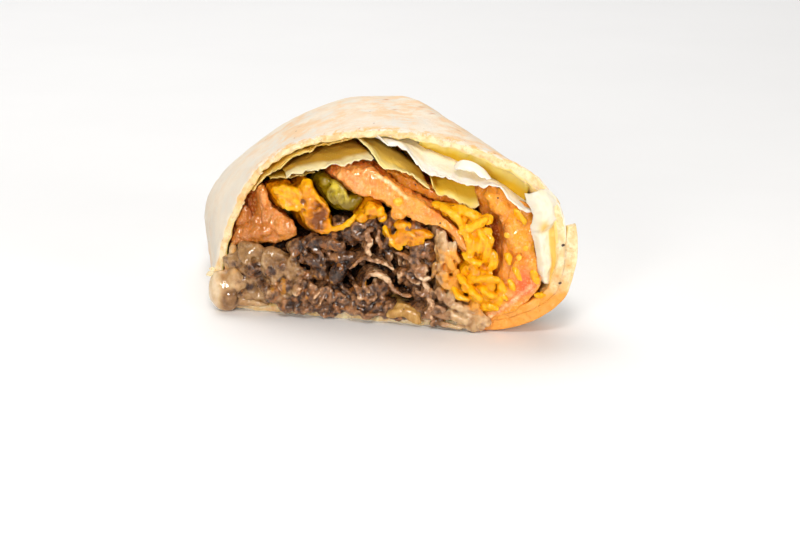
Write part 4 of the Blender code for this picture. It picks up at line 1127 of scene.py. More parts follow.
CHEESE_STRANDS = [  # the stream's thicker strands: radius and (u, z, d) path
    (0.8, (13.2, 23.2, -1.6), (13.6, 20.7, -2.2), (14, 18.2, -2.2), (15.4, 15.8, -1.8), (16.6, 13.8, -0.8)),
    (0.5, (12.7, 22, -1.8), (12.4, 19.4, -2.6), (12.8, 16.8, -2.4), (12.2, 14.4, -2)),
    (0.65, (15.2, 20.6, -1.6), (15.9, 18.6, -2), (17.4, 16.6, -1.6)),
    (0.6, (12, 12.8, -2.2), (13.6, 10.8, -2.6), (15.4, 10.2, -2.4), (17.4, 9, -1.6)),
    (0.8, (12.4, 9.6, -1.6), (13.8, 7.6, -2.6), (16.2, 6.2, -2.8), (18.6, 5.8, -2.2), (20.8, 5, -1.4)),
    (0.7, (10.6, 5, -2), (12.6, 3.4, -2.8), (15, 3.6, -3), (17, 2.6, -2.8)),
    (0.9, (14.6, 4.4, -2.8), (17, 3.2, -3), (19.6, 2.6, -2.8), (22.6, 2.4, -1.6)),
    (0.7, (17.4, 6.6, -2), (19.4, 4.2, -2.6), (21.8, 3.6, -2)),
    (0.6, (11.4, 1.6, -2.2), (14, 1.4, -2.8), (17.6, 1, -2.6)),
]
CHEESE_FOOT = [  # lumps where the stream runs out: u, z, d, three radii, seed, lean, roughness
    (21.4, 3.4, -2.2, 2.6, 1.5, 1.3, 11, 10, 0.45), (23.4, 2.8, -1.8, 1.9, 1.3, 1.1, 12, 20, 0.45),
    (20.8, 1.5, -2.2, 2.4, 1, 1.1, 13, 0, 0.45),
]
CHEESE_VOXEL = 0.28


def build_cheese_corner(finish):
    points, faces, normals = melt(lumps(CHEESE_CORNER), CHEESE_VOXEL, 5)
    points = pushed(points, normals, 0.14 * layered(points, 2.6, 3))
    u, z, _ = face(points).T
    ring = np.hypot(u + 41, (z - 3.8) * 0.95)
    # shade paints light and shade: raised parts lighter, hollows darker; the far left is lighter and the
    # meaty ring darker
    bulge = bulge_of(points, faces, normals, 10)
    shade = 0.45 + 0.3 * np.clip(bulge / 0.5, -1, 1) + 0.26 * noise(points, 1.8, 7)
    shade += 0.38 * ease(-41.8, -44.5, u) - 0.30 * ease(3.4, 1.6, ring)
    meat = 0.34 * np.exp(-((ring - 2.4) / 0.5) ** 2) * (1 + noise(points, 2.4, 9))
    meat += 0.16 * ease(2.6, 0.9, ring) + 0.42 * blob(u, z, -38.6, 7.6, 1.9, 3)
    meat += 0.2 * ease(-38.4, -36.8, u) * ease(12, 9, z)
    values = {"shade": shade, "meat": meat, "gold": 0.10 + 0.35 * ease(8.6, 11, z)}
    piece("cheese_corner", points, faces, [finish], "melted_cheese", ["melted_cheese_corner"], values)


def build_cheese_stream(finish):
    rng = random.Random(5)
    shapes = [cut_end(CHEESE_STREAM, -1, rounding=1.6, droop=1.6)]
    for _ in range(100):
        u, z = rng.uniform(9.5, 23.5), rng.uniform(1.4, 21.5)
        if z > 9.5 and not 11.6 < u < 17.4 - 0.10 * (z - 9.5):
            continue
        size, tall, lean = rng.uniform(0.5, 1.3), 1.3, 70
        if z > 13:
            size, tall, lean = size * 0.8, 2.4, 20
        centre, seed = (u, z, rng.uniform(-2.4, -1)), rng.randrange(99)
        turn = (rng.uniform(-40, 40), 0, rng.uniform(-lean, lean))
        shapes.append(lump(centre, (size * 0.9, size * tall, size), seed, turn, 0.5))
    shapes += strands(CHEESE_STRANDS) + lumps(CHEESE_FOOT)
    points, faces, normals = melt(shapes, CHEESE_VOXEL, 3)
    u, z, d = face(points).T
    low = ease(12, 7, z)
    ridges = ridged(points * (1, 1, 0.45), 1.3, 4)
    points = pushed(points, normals, 0.12 * ridges + 0.16 * noise(points, 0.9, 5))
    # shade paints light and shade: raised parts lighter, hollows and the cheese further in darker, and
    # lighter near the top
    bulge = bulge_of(points, faces, normals, 10)
    shade = 0.44 + 0.60 * np.clip(bulge / 0.5, -1, 1) - 0.35 * ease(0.5, 4, d) + 0.14 * ease(19, 22, z)
    shade += 0.22 * noise(points * (1, 1, 0.3), 1.6, 21)
    meat = 0.45 * low * ease(22, 14, u) + 0.38 * ease(21, 15, z) * ease(15.5, 12.5, u)
    meat += 0.22 * ease(8, 12, z) * ease(18, 14, z)
    gold = (0.15 + 0.75 * ease(4, 7, z)) * ease(17, 21.5, u) * low
    gold += 0.65 * ease(21, 16, z) * ease(8, 11, z) * ease(12.5, 15.5, u)
    gold += 0.38 * ease(23, 17, z) * ease(7, 11, z) + 0.15
    values = {"shade": shade, "meat": meat, "gold": gold}
    piece("cheese_stream", points, faces, [finish], "melted_cheese", ["melted_cheese_right"], values,
          cores=[run_back(CHEESE_STREAM)])


def build_cheese(cheese, steak):
    finish = cheese_finish(cheese, steak)
    build_cheese_corner(finish)
    build_cheese_stream(finish)


# -------------------- cheddar

CHEDDAR_LEFT = [
    (-28.4, 30), (-27, 30.9), (-24, 31.6), (-21.8, 30.9), (-20.4, 32.4), (-19.2, 32.8), (-17.9, 31.4),
    (-17, 30), (-15.7, 28), (-14.3, 26.2), (-13.3, 24.6), (-13, 22.8), (-14.3, 21.7), (-16.8, 20.8),
    (-18.6, 21.2), (-20.2, 22.7), (-21.2, 25), (-21.8, 26.8), (-23.4, 26), (-24.6, 25.8), (-26, 26.5),
    (-27.3, 27.9),
]
CHEDDAR_MIDDLE = [
    (-6.5, 26.2), (-5.1, 27.8), (-4.1, 29), (-2.3, 28.6), (-0.9, 27.8), (-0.9, 26.6), (-2.4, 25.3),
    (-4.8, 24.6), (-6.5, 25.2),
]
CHEDDAR_RIGHT = [
    (13.9, 27.8), (16, 28.3), (19.5, 27.9), (22.3, 26.7), (23.8, 24), (24.9, 20.5), (25.2, 16.8), (25, 13),
    (23.6, 9.8), (21.4, 8.6), (18.8, 9.4), (16.9, 11.6), (17.6, 13.8), (19.6, 17), (20.8, 19.4),
    (19.4, 22.6), (17.2, 25.4),
]
# the lumps of each piece (u, z, d, three radii, seed, lean, roughness), and its strands (radius and
# u, z, d path)
LEFT_LUMPS = [
    (-19.6, 31, -1.2, 1.5, 2.4, 1.7, 3, 8, 0.12), (-24.4, 29.6, -1.2, 3.8, 1.6, 1.7, 5, -10),
    (-25.4, 27.6, -0.8, 2.2, 1.6, 1.4, 6, -30), (-22.4, 28.2, -1.2, 2, 2, 1.5, 8, 0),
    (-18, 24.2, -1, 2.4, 2.9, 1.9, 7, 14, 0.22), (-15.4, 22.8, -0.8, 2.1, 1.6, 1.6, 9, 0),
    (-18.6, 28, -0.8, 1.6, 2.8, 1.5, 10, 20), (-16.2, 26.6, 0.2, 2.2, 2.4, 1.4, 11, 20, 0.3),
]
LEFT_STRANDS = [
    (0.7, (-14.4, 21.7, -0.8), (-12.4, 22.3, -1.6), (-10.6, 23.1, -2), (-9, 24.4, -2), (-7.6, 25.6, -1.6)),
    (0.9, (-27.6, 30.2, -1), (-25.4, 30.9, -1.8), (-22.8, 30.5, -2.2), (-21, 29.6, -1.8)),
    (0.9, (-26.4, 28.8, -1.2), (-24.6, 26.8, -2), (-22, 26.6, -2)),
    (0.7, (-20.8, 27.2, -1.6), (-18.4, 26, -2.2), (-16.4, 26.4, -1.8), (-14.6, 25, -0.8)),
    (0.8, (-20.4, 25.4, -1.6), (-19, 23, -2.2), (-17.2, 21.8, -2.6), (-15.2, 21.6, -2), (-13.8, 22.2, -1.2)),
    (0.55, (-18.4, 31, -1.8), (-17, 29.2, -1.8), (-15.6, 27.6, -1.2), (-14.2, 26, -0.6)),
]
MIDDLE_LUMPS = [
    (-4, 27.4, -2.2, 1.7, 1.5, 1.2, 2, 30), (-2, 27.2, -2.2, 1.3, 1.2, 1, 4, 0),
    (-6.4, 25.2, -1.8, 1.7, 1.1, 1.1, 6, 20), (-1, 25.6, -1.4, 1.2, 1, 0.9, 7, 20, 0.3),
]
RIGHT_LUMPS = [
    (22, 21.2, -2.8, 1.1, 1.9, 1, 3, -12, 0.12), (24.6, 6.6, -0.2, 2.4, 1.9, 1.6, 5, 20),
    (27, 7.8, 0.2, 2.2, 1.9, 1.4, 6, 30), (23.2, 8.8, -1.4, 2, 1.8, 1.4, 7, 0),
    (24.6, 11.4, -1.2, 1.6, 1.8, 1.4, 8, 0),
]
CENTRE_LUMPS = [
    (1.6, 20.4, -1.6, 1.9, 1.7, 1.2, 1, 10, 0.3), (4, 21.2, -1.4, 2.6, 1.7, 1.3, 2, -6, 0.3),
    (6.6, 20.6, -1, 2, 1.4, 1.2, 3, -14, 0.3), (9, 22.4, -0.6, 2.6, 1.1, 1.2, 4, -16, 0.3),
    (4.4, 23.6, -0.4, 2.8, 1.3, 1.3, 7, -12, 0.3), (0.2, 22, -0.8, 1.1, 1.4, 1, 9, 0, 0.3),
]
CENTRE_STRANDS = [
    (0.6, (-0.6, 23.4, -1.6), (0.2, 21.4, -2.4), (1.4, 19.6, -2.6), (3, 19, -2.2)),
    (0.6, (2.6, 22.4, -1.8), (4.6, 22.6, -2.4), (6.8, 21.8, -2.2), (8.6, 20.6, -1.4)),
]
LEFT_MEAT = [  # crumbs of meat on the left piece: u, z, radius, amount
    (-21, 28.2, 0.9, 0.75), (-17.8, 28, 1.1, 0.45), (-16.4, 25.4, 1.1, 0.45), (-13.2, 25.2, 1.3, 0.85),
    (-18.2, 20.6, 1, 0.5), (-20.6, 26.4, 0.8, 0.6), (-15.6, 23.8, 0.8, 0.4),
]
LEFT_SHADING = [  # its painted shade, darker places on the goo and knob: u, z, radius, change
    (-16.8, 25.6, 3, -0.58), (-18, 22.4, 2.4, -0.40), (-20.6, 29, 1.4, -0.12), (-19.4, 31, 2, -0.16),
]
SHREDS = [  # (u, z, d) points of the shreds at the right
    [(11.6, 29.7, -1.2), (13.6, 29.2, -2.4), (15.6, 28, -3), (17.2, 26.2, -2.8)],
    [(14.6, 27.6, 0.2), (17.4, 28.8, -1.2), (20.2, 28, -1.8), (22.6, 26.6, -1)],
    [(17.6, 23.9, -2.4), (19.6, 25.2, -3.4), (21.4, 26.4, -3.6), (23, 27.3, -3.2)],
    [(17.4, 26.4, -1.6), (18.4, 24.2, -2.6), (19.4, 21.4, -3), (19.8, 18.6, -2.6)],
    [(21.4, 25.4, -1.6), (22.6, 23.4, -2.6), (23.6, 20.8, -3), (23.6, 17.8, -2.2)],
    [(18.4, 18.6, -2.2), (20, 17.2, -3), (22, 16.8, -3)],
    [(20.4, 13, -3.2), (22.2, 13.4, -3.8), (24, 13.5, -3.8), (25.9, 13.3, -3.2)],
    [(17, 13.4, -2.2), (18.2, 12, -3), (18.6, 10.2, -3)],
    [(19.6, 10.8, -2.6), (20.8, 9.4, -3.2), (21.8, 8, -2.8)],
    [(22.8, 11, -2.4), (24, 9.6, -3), (25.6, 9.4, -2.4)],
    [(24.8, 15.4, -1.6), (25.6, 17.4, -2), (25.4, 19.4, -1.4)],
    [(15.8, 10.2, -2.8), (17, 8.6, -3.2), (18.8, 8, -2.8)],
]
CHEDDAR_BITS = [  # loose bits of shred on other fillings: their ends (u, z, d)
    ((31.3, 29.2, 0), (33, 26.8, -0.2)), ((30.8, 15.8, -0.4), (32.3, 13.6, -0.6)),
    ((29.4, 12.8, -0.6), (30.6, 10.8, -0.7)), ((35.2, 15.2, -0.4), (36, 13.2, -0.5)),
    ((36.6, 9.6, 0), (38.6, 9.8, 0.4)), ((26.6, 9.8, -0.8), (28.8, 8.4, -0.8)),
    ((27, 12.2, -0.6), (28.2, 10.2, -0.8)), ((24.2, 6.6, -1.6), (26.2, 6, -1.4)),
    ((29.2, 18.6, -0.2), (29.9, 16.8, -0.4)),
]


def cheddar_finish(look):
    made = Finish("melted cheddar", 0.34, 0.32, (1, 0.5, 0.12), 1.6, 0.85, 0.09, 0.1)
    # the ramp paints light and shade: dark orange in hollows and deep in, up to a pale yellow highlight on
    # raised folds
    made.base = made.ramp(made.stirred("shade", 1.5, amount=0.5), [
        (0, srgb(128, 66, 2)), (0.28, look.deep), (0.6, look.bright), (0.95, srgb(255, 206, 60)),
    ])
    made.over(srgb(112, 66, 36), made.stirred("meat", 1.8, 4, 0.65), 0.36, 0.62, 0.85)
    relief = made.add(made.noise(0.8, 4, 0.65), made.times(made.noise(2.4, 2), 1.2))
    return made.done(relief, 0.34, wet=True)


def cheddar_piece(name, shapes, finish, seed, outline=None, nodes=(), meat_at=(), painted_shading_at=(), voxel=0.28,
                  depth_shade=0.4):
    """A piece of cheddar; meat_at gives places with crumbs of meat, and the list after it places painted
    lighter or darker as light and shade.
    """
    points, faces, normals = melt(shapes, voxel, 2)
    relief = 0.14 * layered(points, 1.6, seed) + 0.17 * ridged(points, 1.3, seed + 1)
    points = pushed(points, normals, relief)
    u, z, d = face(points).T
    # shade paints light and shade: raised folds lighter, hollows and the cheese further in darker
    bulge = bulge_of(points, faces, normals, 9)
    shade = 0.50 + 0.40 * np.clip(bulge / 0.45, -1, 1) - depth_shade * ease(-0.5, 4, d)
    values = {"shade": shade + spread(u, z, painted_shading_at), "meat": spread(u, z, meat_at)}
    cores = [run_back(outline)] if outline else []
    piece(name, points, faces, [finish], "cheddar", nodes, values, cores=cores)


def build_cheddar(look):
    finish = cheddar_finish(look)
    front = cut_end(CHEDDAR_LEFT, 0.4, rounding=0.8, grow=0.6)
    shapes = [front, *lumps(LEFT_LUMPS), *strands(LEFT_STRANDS)]
    cheddar_piece("cheddar_folds", shapes, finish, 1, CHEDDAR_LEFT, ["cheddar_left"], LEFT_MEAT, LEFT_SHADING)
    front = cut_end(CHEDDAR_MIDDLE, -1.2, rounding=1, grow=0.6)
    shapes = [front, *lumps(MIDDLE_LUMPS)]
    cheddar_piece("cheddar_knot", shapes, finish, 2, CHEDDAR_MIDDLE, ["cheddar_middle"],
                  [(-2, 25.4, 0.9, 0.55), (-5.4, 24.6, 0.8, 0.4)],
                  [(-4, 26.4, 2, -0.22), (-7, 25, 1.2, -0.15)])
    rng = random.Random(8)
    right = [cut_end(CHEDDAR_RIGHT, -0.9, rounding=1.6, grow=0.7), *lumps(RIGHT_LUMPS)]
    for _ in range(40):
        u, z = rng.uniform(16.5, 25), rng.uniform(8, 27.4)
        if u < 16 + 6 * math.sin((z - 8) / 19.4 * math.pi) - 2.6:
            continue
        size = rng.uniform(0.7, 1.3)
        centre, seed = (u, z, rng.uniform(-2.2, -1.2)), rng.randrange(99)
        turn = (rng.uniform(-30, 30), 0, rng.uniform(-90, 90))
        right.append(lump(centre, (size * 1.5, size * 1.15, size * 0.8), seed, turn, 0.25))
    for k, path in enumerate(SHREDS):
        line = spline(path, 4)
        taper = 1 - 0.2 * np.linspace(-1, 1, len(line)) ** 4
        profile = look.shred / MM / 2 * rng.uniform(1, 1.4) * taper
        right.append(rod(line, profile, 8, rng.uniform(0.6, 0.85), k))
    # the shreds' upper part is painted lighter, standing in for light
    cheddar_piece("cheddar_shreds", right, finish, 3, CHEDDAR_RIGHT, ["cheddar_right"],
                  [(14.5, 26, 1.4, 0.4), (19.6, 15, 1, 0.5)], [(18, 26.5, 4, 0.16)], 0.26, 0.3)
    cheddar_piece("cheddar_centre", lumps(CENTRE_LUMPS) + strands(CENTRE_STRANDS), finish, 4,
                  meat_at=[(6.8, 22, 1.2, 0.5), (0.4, 22.4, 0.9, 0.5), (3, 19, 0.9, 0.4)],
                  painted_shading_at=[(4, 21.5, 4.5, -0.20), (9, 22.4, 2, -0.15)])
    bits = []
    for k, (first, last) in enumerate(CHEDDAR_BITS):
        middle = [(a + b) / 2 for a, b in zip(first, last)]
        lean = math.degrees(math.atan2(last[1] - first[1], last[0] - first[0]))
        bits.append((*middle, math.dist(first, last) / 2 + 0.6, 0.95 - 0.12 * (k % 3), 0.6, k, lean, 0.3))
    cheddar_piece("cheddar_bits", lumps(bits), finish, 5, depth_shade=0)


# -------------------- tomato

TOMATO_LEFT = [
    (-38.4, 16), (-38.4, 18.5), (-36.4, 20.6), (-33.6, 22.2), (-31.9, 24.6), (-31.8, 28), (-31.6, 30),
    (-30.6, 30.9), (-29.6, 30.4), (-29.2, 28.4), (-28.4, 26.2), (-26.6, 24.9), (-24.8, 24.2), (-23.1, 22.7),
    (-22, 20.9), (-21.9, 19.4), (-25.5, 18), (-30, 16.9),
]
TOMATO_LEFT_DEEP = [
    (-38.4, 16), (-38.2, 18.5), (-37.2, 22.4), (-36, 25), (-34.2, 27.8), (-32, 29.6), (-30.8, 30.4),
    (-29.7, 30.4), (-29.2, 28.9), (-28.4, 26.6), (-26.6, 25.2), (-24.8, 24.2), (-23.1, 22.5), (-22, 20.5),
    (-21.9, 19.4), (-25.5, 18), (-30, 16.9), (-34, 16.8),
]
TOMATO_FRONT = [
    (-12.8, 34.9), (-11.4, 36.2), (-9, 36.9), (-6, 37.2), (-3, 36.8), (0, 35.4), (2, 33.8), (4, 32.2),
    (8, 30.2), (10, 29.2), (13, 27.5), (16, 24.9), (18, 22.3), (19.2, 20.2), (19.4, 19.2), (18.2, 19.5),
    (16.5, 21.5), (16, 22.7), (14.5, 24), (12.5, 24.8), (10, 24.9), (8, 25.3), (6, 26.1), (4, 27), (2, 27.7),
    (0, 29), (-2, 30.3), (-4.5, 30.6), (-7, 30.9), (-9.3, 32), (-11.3, 33.8),
]
TOMATO_BEHIND = [
    (1.1, 35.9), (4, 35.2), (8, 33.4), (12, 31.5), (16, 30.5), (20, 30), (22.4, 29.7), (22.6, 28.9),
    (20, 28.8), (16, 29.2), (12.6, 29.7), (8.4, 31), (4.9, 32.4), (3.3, 33.8), (1.6, 35.2),
]
TOMATO_RIGHT = [
    (23.7, 31.9), (25.5, 32.2), (28, 30.9), (30, 29.1), (32.4, 26.9), (34.3, 24.4), (35.7, 21), (36.3, 17),
    (36, 13.4), (34, 10.7), (31, 8.1), (27.8, 6.6), (25, 5.6), (24.1, 6.6), (25.2, 8.4), (26.5, 9.8),
    (27.4, 12), (28.4, 15.5), (28.8, 21), (28.2, 25), (26.6, 28.4), (24.6, 30.8),
]
TOMATO_RIGHT_DEEP = TOMATO_RIGHT[:16] + [
    (27, 12), (26.6, 15.5), (26.6, 20.5), (25.8, 23.6), (24.6, 26.4), (24, 29.6),
]
# the lumps of each piece (u, z, d, three radii, seed, lean, roughness), and its strands (radius and
# u, z, d path)
LEFT_WEDGE_LUMPS = [
    (-33.4, 19.4, -0.7, 4.2, 1.9, 1.2, 3, 6, 0.25), (-26, 21.4, -0.6, 3.8, 2.2, 1.1, 5, -8),
    (-30.6, 28, -0.9, 1.1, 3, 1, 4, 8), (-35.6, 22.4, 2.6, 2.4, 2.6, 1.4, 6, -40, 0.3),
]
FRONT_SLICE_LUMPS = [
    (2.2, 27, -2.4, 1.7, 1.4, 1.1, 3, -20, 0.15),
]
RIGHT_WEDGE_LUMPS = [
    (31.6, 22.6, 1, 2.8, 5, 1.6, 1, 18), (32.6, 14, 0.8, 2.8, 4.6, 1.6, 2, -14),
    (34.2, 23, 1.6, 2, 5.2, 1.4, 8, 8), (32.6, 28.4, 2, 2.6, 3.2, 1.4, 10, -30),
    (35.6, 16.4, 1.8, 1.8, 4.4, 1.4, 9, 10), (28.6, 9, 0.6, 3.6, 1.8, 1.5, 5, 30),
    (27.4, 29.8, 1.2, 3, 2.2, 1.4, 6, -40), (25.4, 31.6, 1.6, 2.2, 1.4, 1.4, 7, -20),
    (26.8, 32.8, 3, 2.2, 1.4, 1.6, 11, -30), (29.6, 31.6, 2.8, 2.8, 1.7, 1.6, 12, -38),
    (32.6, 29.2, 2.6, 2.6, 1.7, 1.6, 13, -42), (35, 26.4, 2.6, 1.6, 2.6, 1.4, 14, 20),
]
RIGHT_WEDGE_STRANDS = [
    (1.1, (36.8, 14.2, 1.4), (35.4, 11, 0.9), (32.8, 8.6, 0.6), (29.6, 6.2, 0.5), (27, 4.8, 0.6),
     (24.6, 4, 0.8)),
    (0.6, (38, 14.8, 0.8), (36.6, 11.8, 0.3), (34, 8.8, 0), (30.8, 6.2, -0.2), (27.6, 4.4, -0.2),
     (24.8, 3.2, 0)),
    (0.5, (35.4, 13.4, 0.2), (33.2, 10.4, -0.2), (30.2, 8, -0.4), (27.6, 6.4, -0.4), (25.6, 5.4, -0.2)),
]
TOMATO_SEEDS = [  # u, z, d, radius
    (2.2, 30, -3, 1.1), (29.3, 23.4, 0, 0.9), (33.4, 20.6, -0.4, 0.7), (38, 9.3, 0.8, 0.9),
    (31.8, 18.4, -0.6, 0.7), (31, 21.4, -0.4, 0.5),
]


def tomato_finish(look):
    made = Finish("wet tomato", 0.3, 0.25, (1, 0.4, 0.15), 1.6, 1, 0.07, 0.1)
    made.base = look.flesh
    made.over(look.streak, made.noise(1.9, 5, 0.65, 0.4, stretch=(1, 1, 1.7)), 0.38, 0.70, 0.8)
    made.over(look.skin, made.stirred("ripe", 4), 0.20, 0.90)
    made.over(srgb(250, 166, 40), made.stirred("gold", 2.6, 4, amount=1.2), 0.20, 0.90, 0.92)
    made.over(srgb(255, 222, 168), made.stirred("pale", 1.4), 0.35, 0.85, 0.85)
    # the browning share paints shade: darker, browner orange further in and in the hollow by the shreds
    brown_and_shade = made.stirred("brown_and_shade", 3)
    made.over(srgb(186, 108, 34), brown_and_shade, 0.20, 0.95, 0.9)
    made.over(srgb(146, 62, 6), brown_and_shade, 1, 1.7, 0.85)
    made.over(srgb(255, 208, 150), made.noise(0.6, 3, 0.6), 0.52, 0.68, 0.45)
    made.over(srgb(214, 106, 34), made.noise(0.9, 3, 0.6), 0.54, 0.70, 0.45)
    return made.done(made.add(made.noise(1.5, 5, 0.7), made.times(made.noise(0.5), 0.5)), 0.5, wet=True)


def tomato_piece(name, outline, front, finish, node, tones, shapes=(), seed=0, deep=None, rounding=1.1,
                 step=2, fine=0.26):
    """tones gives the ripe, pale, browning and gold shares of the flesh from (u, z, d).

    The browning is mostly painted shade, further in and in hollows; on the front slice the pale is partly a
    painted highlight.
    """
    end = cut_end(outline, front, deep, rounding, step=step, grow=0.6)
    points, faces, normals = melt([end, *shapes], 0.30, 2)
    upright = points * (1, 1, 0.6)
    bumps = 0.24 * noise(points, 3.4, seed) + 0.32 * noise(upright, 1.3, seed + 1)
    bumps += fine * noise(upright, 0.7, seed + 2)
    points = pushed(points, normals, bumps)
    u, z, d = face(points).T
    shares = {key: tone + 0 * u for key, tone in zip(("ripe", "pale", "brown_and_shade", "gold"), tones(u, z, d))}
    piece(name, points, faces, [finish], "tomato", [node], shares, cores=[run_back(outline, deep)])


def left_wedge_tones(u, z, d):
    stem = ease(-32.5, -31, u) * ease(23, 26, z)
    ripe = 0.30 * ease(20, 17, z) + 0.30 * stem
    pale = 0.16 * ease(-25, -22.5, u) + 0.10 * ease(-30, -26, u) * ease(24, 20, z)
    # browner further in and at the recessed left part is painted shade; the rest is the wedge's own browner
    # flesh
    brown_and_shade = 0.66 - 0.2 * stem + 0.40 * ease(-27, -34, u) * (1 - stem) + 0.8 * ease(0.6, 3.5, d)
    return ripe, pale, brown_and_shade, 0.35


def front_slice_tones(u, z, d):
    top = np.array(TOMATO_FRONT[:14])  # the slice's upper edge
    under_rim = np.interp(u, top[:, 0], top[:, 1]) - z
    ripe = 0.20 + 0.20 * ease(6, 16, u) + 0.40 * ease(-1.2, 1.5, d)
    # pale here is a painted highlight: a wet band just under the upper rim, and the left end at the front
    pale = 0.75 * np.exp(-((under_rim - 1) / 0.9) ** 2) * ease(-6, -1, u) * ease(9, 4, u)
    pale += 0.42 * ease(-1, -6, u) * ease(-2, -3, d)
    gold = 0.30 + 0.25 * ease(-6, 4, u) + 0.15 * ease(3, 7, under_rim)
    # browner further in is painted shade
    return ripe, pale, 0.3 * ease(3, 7, d), gold


def back_slice_tones(u, z, d):
    # this slice lies back in shadow: its browning is painted shade
    return 0.35, 0, 0.40 + 0.20 * ease(14, 20, u), 0.80


def right_wedge_tones(u, z, d):
    red = blob(u, z, 33, 13, 2.8, 4.2)
    band = np.exp(-((z - 3.6 - 0.82 * (u - 25)) / 1.2) ** 2)
    ripe = 0.15 + 0.75 * red + 0.15 * ease(3, 7, d) + 0.25 * band
    pale = 0.22 * blob(u, z, 33.4, 19, 1.6, 5) + 0.62 * band
    # browner further in and in the hollow by the shreds is painted shade
    brown_and_shade = 0.65 * ease(2.6, 6.5, d) * ease(31, 27, u) + 2.6 * blob(u, z, 26.2, 22, 2.4, 5)
    return ripe, pale, brown_and_shade, 0.72 - 0.55 * red - 0.4 * band


def build_tomatoes(look):
    finish = tomato_finish(look)
    tomato_piece("tomato_wedge_left", TOMATO_LEFT, -0.6, finish, "tomato_left", left_wedge_tones,
                 lumps(LEFT_WEDGE_LUMPS), 1, TOMATO_LEFT_DEEP, step=4.6)
    tomato_piece("tomato_slice_front", TOMATO_FRONT, -2.7, finish, "tomato_front", front_slice_tones,
                 lumps(FRONT_SLICE_LUMPS), 2, rounding=0.7)
    tomato_piece("tomato_slice_behind", TOMATO_BEHIND, 3, finish, "tomato_behind", back_slice_tones,
                 seed=3, rounding=0.5)
    tomato_piece("tomato_wedge_right", TOMATO_RIGHT, 1.2, finish, "tomato_right", right_wedge_tones,
                 lumps(RIGHT_WEDGE_LUMPS) + strands(RIGHT_WEDGE_STRANDS), 4, TOMATO_RIGHT_DEEP, 1.6,
                 fine=0.12)
    made = Finish("tomato seed", 0.28, 0.3, (1, 0.7, 0.2), 1, coat=0.8, specular=0.1)
    made.base = srgb(250, 170, 24)
    made.over(srgb(255, 206, 80), made.noise(0.8), 0.35, 0.7)
    seeds = lumps([(u, z, d, size * 1.1, size, size * 0.6, k, 20 * k, 0.08)
                   for k, (u, z, d, size) in enumerate(TOMATO_SEEDS)])
    piece("tomato_seeds", *merged(seeds), [made.done(made.noise(0.5, 2), 0.08)], "tomato")


# -------------------- pepper and onion

PEPPER = [
    (-16.2, 32.2), (-14.6, 33.7), (-12.9, 33.2), (-10.5, 31), (-7.4, 29.6), (-5.8, 28.8), (-6.3, 28),
    (-8, 26.8), (-10.5, 26.1), (-12.8, 27.3), (-14.4, 29.2), (-15.7, 31),
]
ONION = [
    (-4.2, 3.1), (-3.8, 3.5), (0.2, 3.7), (2.6, 5.5), (4.3, 5.6), (6.5, 4.6), (8.2, 3.2), (5, 3), (1, 3),
]
# their lumps and strands: u, z, d, three radii, seed, lean, roughness; radius and (u, z, d) path
PEPPER_STRANDS = [
    (0.62, (-13.4, 33.2, -0.2), (-11.9, 32.9, -0.9), (-10.4, 31.2, -1.2), (-9.7, 29.4, -1.3),
     (-9.4, 28.2, -0.8)),
    (0.55, (-13.4, 31.8, -0.7), (-14.3, 30.6, -0.7), (-13.7, 28.9, -0.6), (-12.4, 27.9, -0.4)),
]
PEPPER_LUMPS = [
    (-12.6, 32, -0.7, 1.3, 1, 0.9, 2, 30, 0.3), (-11.6, 29.7, -0.4, 1.7, 1.9, 1.1, 3, 20, 0.15),
    (-8.6, 28.3, 0, 2.6, 1.9, 1.5, 4, 18, 0.15), (-7, 29, 0.4, 1.6, 1.2, 1.3, 5, 30),
    (-14.8, 32.6, 0.9, 1.8, 1.6, 1.2, 6, 20),
]
ONION_LUMPS = [
    (2, 3.2, -2.8, 3, 1.2, 0.5, 1, 16, 0.1), (5.6, 2.8, -2.9, 2.8, 1.4, 0.5, 2, -34, 0.1),
]
PITH_PLACES = [  # where the pepper's pale inner wall shows, brighter on the knob and ridge as painted highlights: u, z, radius, amount
    (-12.6, 32.2, 1.2, 0.8), (-11.6, 29.8, 1.7, 0.40), (-10.5, 31.2, 0.8, 0.45), (-9.7, 29.2, 0.8, 0.45),
    (-13.9, 30.0, 0.8, 0.30),
]
PEPPER_VOXEL = 0.26


def build_pepper(look):
    green = Finish("green pepper", 0.26, 0.35, (1, 0.9, 0.2), 1.6, 0.9, 0.08, 0.1)
    green.base = look.pepper
    green.over(srgb(150, 124, 14), green.noise(2.4), 0.35, 0.7)
    # the pith colour lays the pale inner wall, partly as painted highlights on the knob and ridge
    green.over(look.pepper_pith, green.stirred("pith", 1.3), 0.20, 0.85)
    finish = green.done(green.add(green.noise(0.9), green.noise(2.2, 2)), 0.2)
    shapes = [cut_end(PEPPER, 0.6, rounding=1.2, grow=0.6), *strands(PEPPER_STRANDS), *lumps(PEPPER_LUMPS)]
    points, faces, normals = melt(shapes, PEPPER_VOXEL, 2)
    points = pushed(points, normals, 0.10 * layered(points, 1.2, 2))
    u, z, d = face(points).T
    pith = spread(u, z, PITH_PLACES) * ease(1, -0.4, d) + 0.06
    piece("pepper_ring", points, faces, [finish], "green_pepper", ["green_pepper"], {"pith": pith},
          cores=[run_back(PEPPER)])


